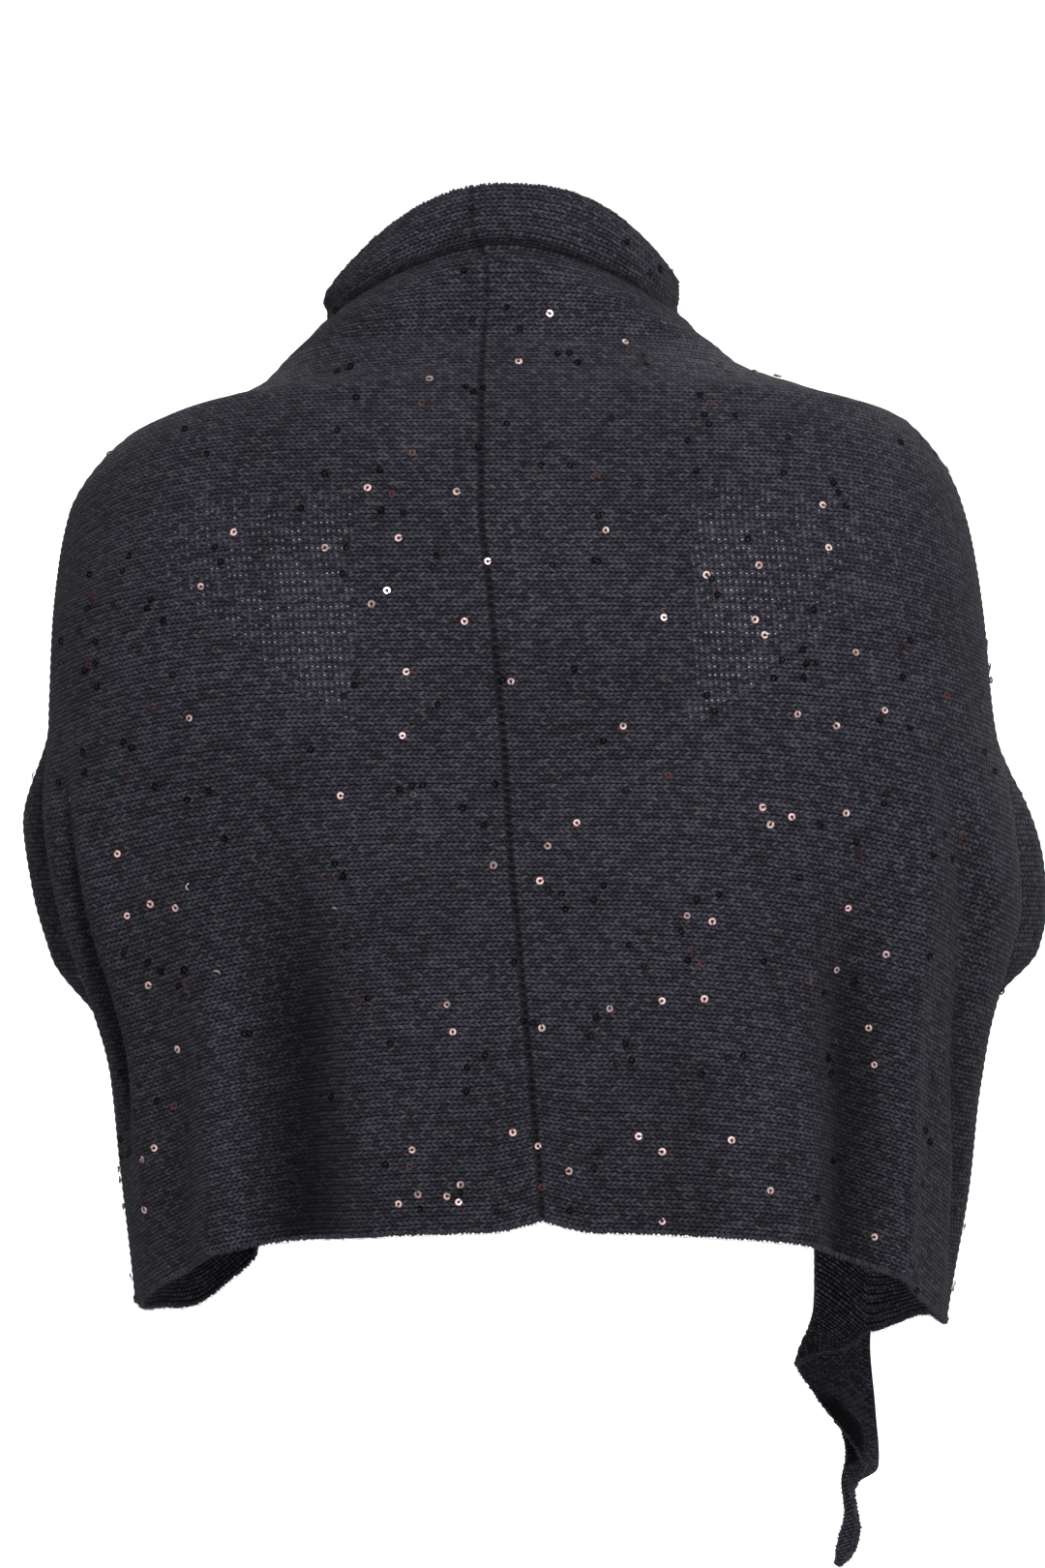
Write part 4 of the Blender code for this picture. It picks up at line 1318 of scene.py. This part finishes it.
class PONCHO_OT_edges(bpy.types.Operator):
    """Cast off the collar's rim, the hem and the edges of the tail"""
    bl_idname = "poncho.edges"
    bl_label = "Edges"

    def execute(self, context):
        knit, sewing = context.scene.poncho_knit, context.scene.poncho_sewing
        points, out, facing = edge_points(knit, sewing.edge_pitch)
        lean = unit(facing + LEANING * unit(np.cross(out, facing)))
        grow("edge_stitches", stitch_tree(), "knit", points - EDGE_DEPTH * unit(out), out, lean,
             span=0.0028, rise=0.0017, yarn_radius=THICK_YARN * sewing.radius, tilt=0.32,
             seed=sewing.seed, material=yarn_finish("Cast-off yarn", knit, 1.25))
        points, out, facing = edge_points(knit, sewing.fibre_pitch)
        random = np.random.default_rng(sewing.seed)
        roots = points + unit(facing) * random.uniform(-FUZZ, FUZZ, (len(points), 1))
        grow("edge_fibres", stitch_tree(), "knit", roots, out, np.cross(out, facing),
             span=0.0034, rise=0.0017, yarn_radius=FUZZ_RADIUS, tilt=1.1,
             seed=sewing.seed + 1, material=yarn_finish("Loose fibres", knit, 1.9))
        return {"FINISHED"}


BROWN_EACH = 6           # one dark sequin in this many is brown
FRONT_FACES = -0.1       # least turn to the front of a place that counts as the front
THREAD_OFF = 0.0013      # from the middle of a sequin to its thread


class PONCHO_OT_sequins(bpy.types.Operator):
    """Sew on the ring sequins: pale, brown and black"""
    bl_idname = "poncho.sequins"
    bl_label = "Sequins"

    def execute(self, context):
        knit, given = context.scene.poncho_knit, context.scene.poncho_sequins
        random = np.random.default_rng(given.seed)
        in_front = [found for found in scattered(3 * given.pale_in_front, random)
                    if found[1].y > FRONT_FACES][:given.pale_in_front]
        dark = clustered(given.dark_clusters, random)
        black = [found for index, found in enumerate(dark) if index % BROWN_EACH]
        thread = yarn_finish("Sequin thread", knit, 0.55)
        kinds = (     # each with its metal, roughness and shine, and how unevenly its rings lie
            ("pale", pale_on_back() + in_front, (0.15, 0.30, 0.35), 0.20),
            ("brown", dark[::BROWN_EACH], (0.0, 0.40, 0.12), 0.35),
            ("black", black, (0.0, 0.32, 0.055), 0.40))
        for number, (name, found, foil, tilt) in enumerate(kinds):
            normals = np.array([tuple(normal) for _, normal in found])
            centres = np.array([tuple(place) for place, _ in found]) + STANDING_OUT * normals
            sides = unit(np.cross(normals, random.normal(size=normals.shape)))
            finish = sequin_finish(name.capitalize() + " sequins", getattr(given, name), *foil)
            grow("sequins_" + name, sequin_tree(), "sequins", centres, normals, sides,
                 diameter=given.diameter, hole=given.hole, thickness=given.thickness,
                 tilt=tilt, seed=given.seed + number, material=finish)
            grow("threads_" + name, stitch_tree(), "knit", centres + THREAD_OFF * sides, normals,
                 sides, span=0.0028, rise=0.0005, yarn_radius=0.00025, tilt=0.05,
                 seed=given.seed + number, material=thread)
        return {"FINISHED"}


class PONCHO_PT_pieces(bpy.types.Panel):
    """The poncho's pieces and their sizes"""
    bl_idname = "PONCHO_PT_pieces"
    bl_label = "Knitted Poncho"
    bl_space_type = "VIEW_3D"
    bl_region_type = "UI"
    bl_category = "Poncho"

    def draw(self, context):
        for step in STEPS:
            self.layout.operator(step.bl_idname)
        for name, kind in SETTINGS.items():
            box = self.layout.box()
            for field in kind.__annotations__:
                box.prop(getattr(context.scene, name), field)


STEPS = (
    PONCHO_OT_studio,
    PONCHO_OT_left_panel,
    PONCHO_OT_right_panel,
    PONCHO_OT_seams,
    PONCHO_OT_edges,
    PONCHO_OT_sequins,
)
SETTINGS = {
    "poncho_knit": KnitSettings,
    "poncho_sewing": SewingSettings,
    "poncho_sequins": SequinSettings,
    "poncho_studio": StudioSettings,
}


def register():
    """Register the settings, the operators and the panel."""
    for kind in (*SETTINGS.values(), *STEPS, PONCHO_PT_pieces):
        bpy.utils.register_class(kind)
    for name, kind in SETTINGS.items():
        setattr(bpy.types.Scene, name, PointerProperty(type=kind))


def unregister():
    """Take the settings, the operators and the panel away again."""
    for name in SETTINGS:
        delattr(bpy.types.Scene, name)
    for kind in reversed((*SETTINGS.values(), *STEPS, PONCHO_PT_pieces)):
        bpy.utils.unregister_class(kind)


def main():
    """Dress the poncho."""
    register()
    bpy.ops.poncho.studio()
    bpy.ops.poncho.left_panel()
    bpy.ops.poncho.right_panel()
    bpy.ops.poncho.seams()
    bpy.ops.poncho.edges()
    bpy.ops.poncho.sequins()


if __name__ == "__main__":
    main()
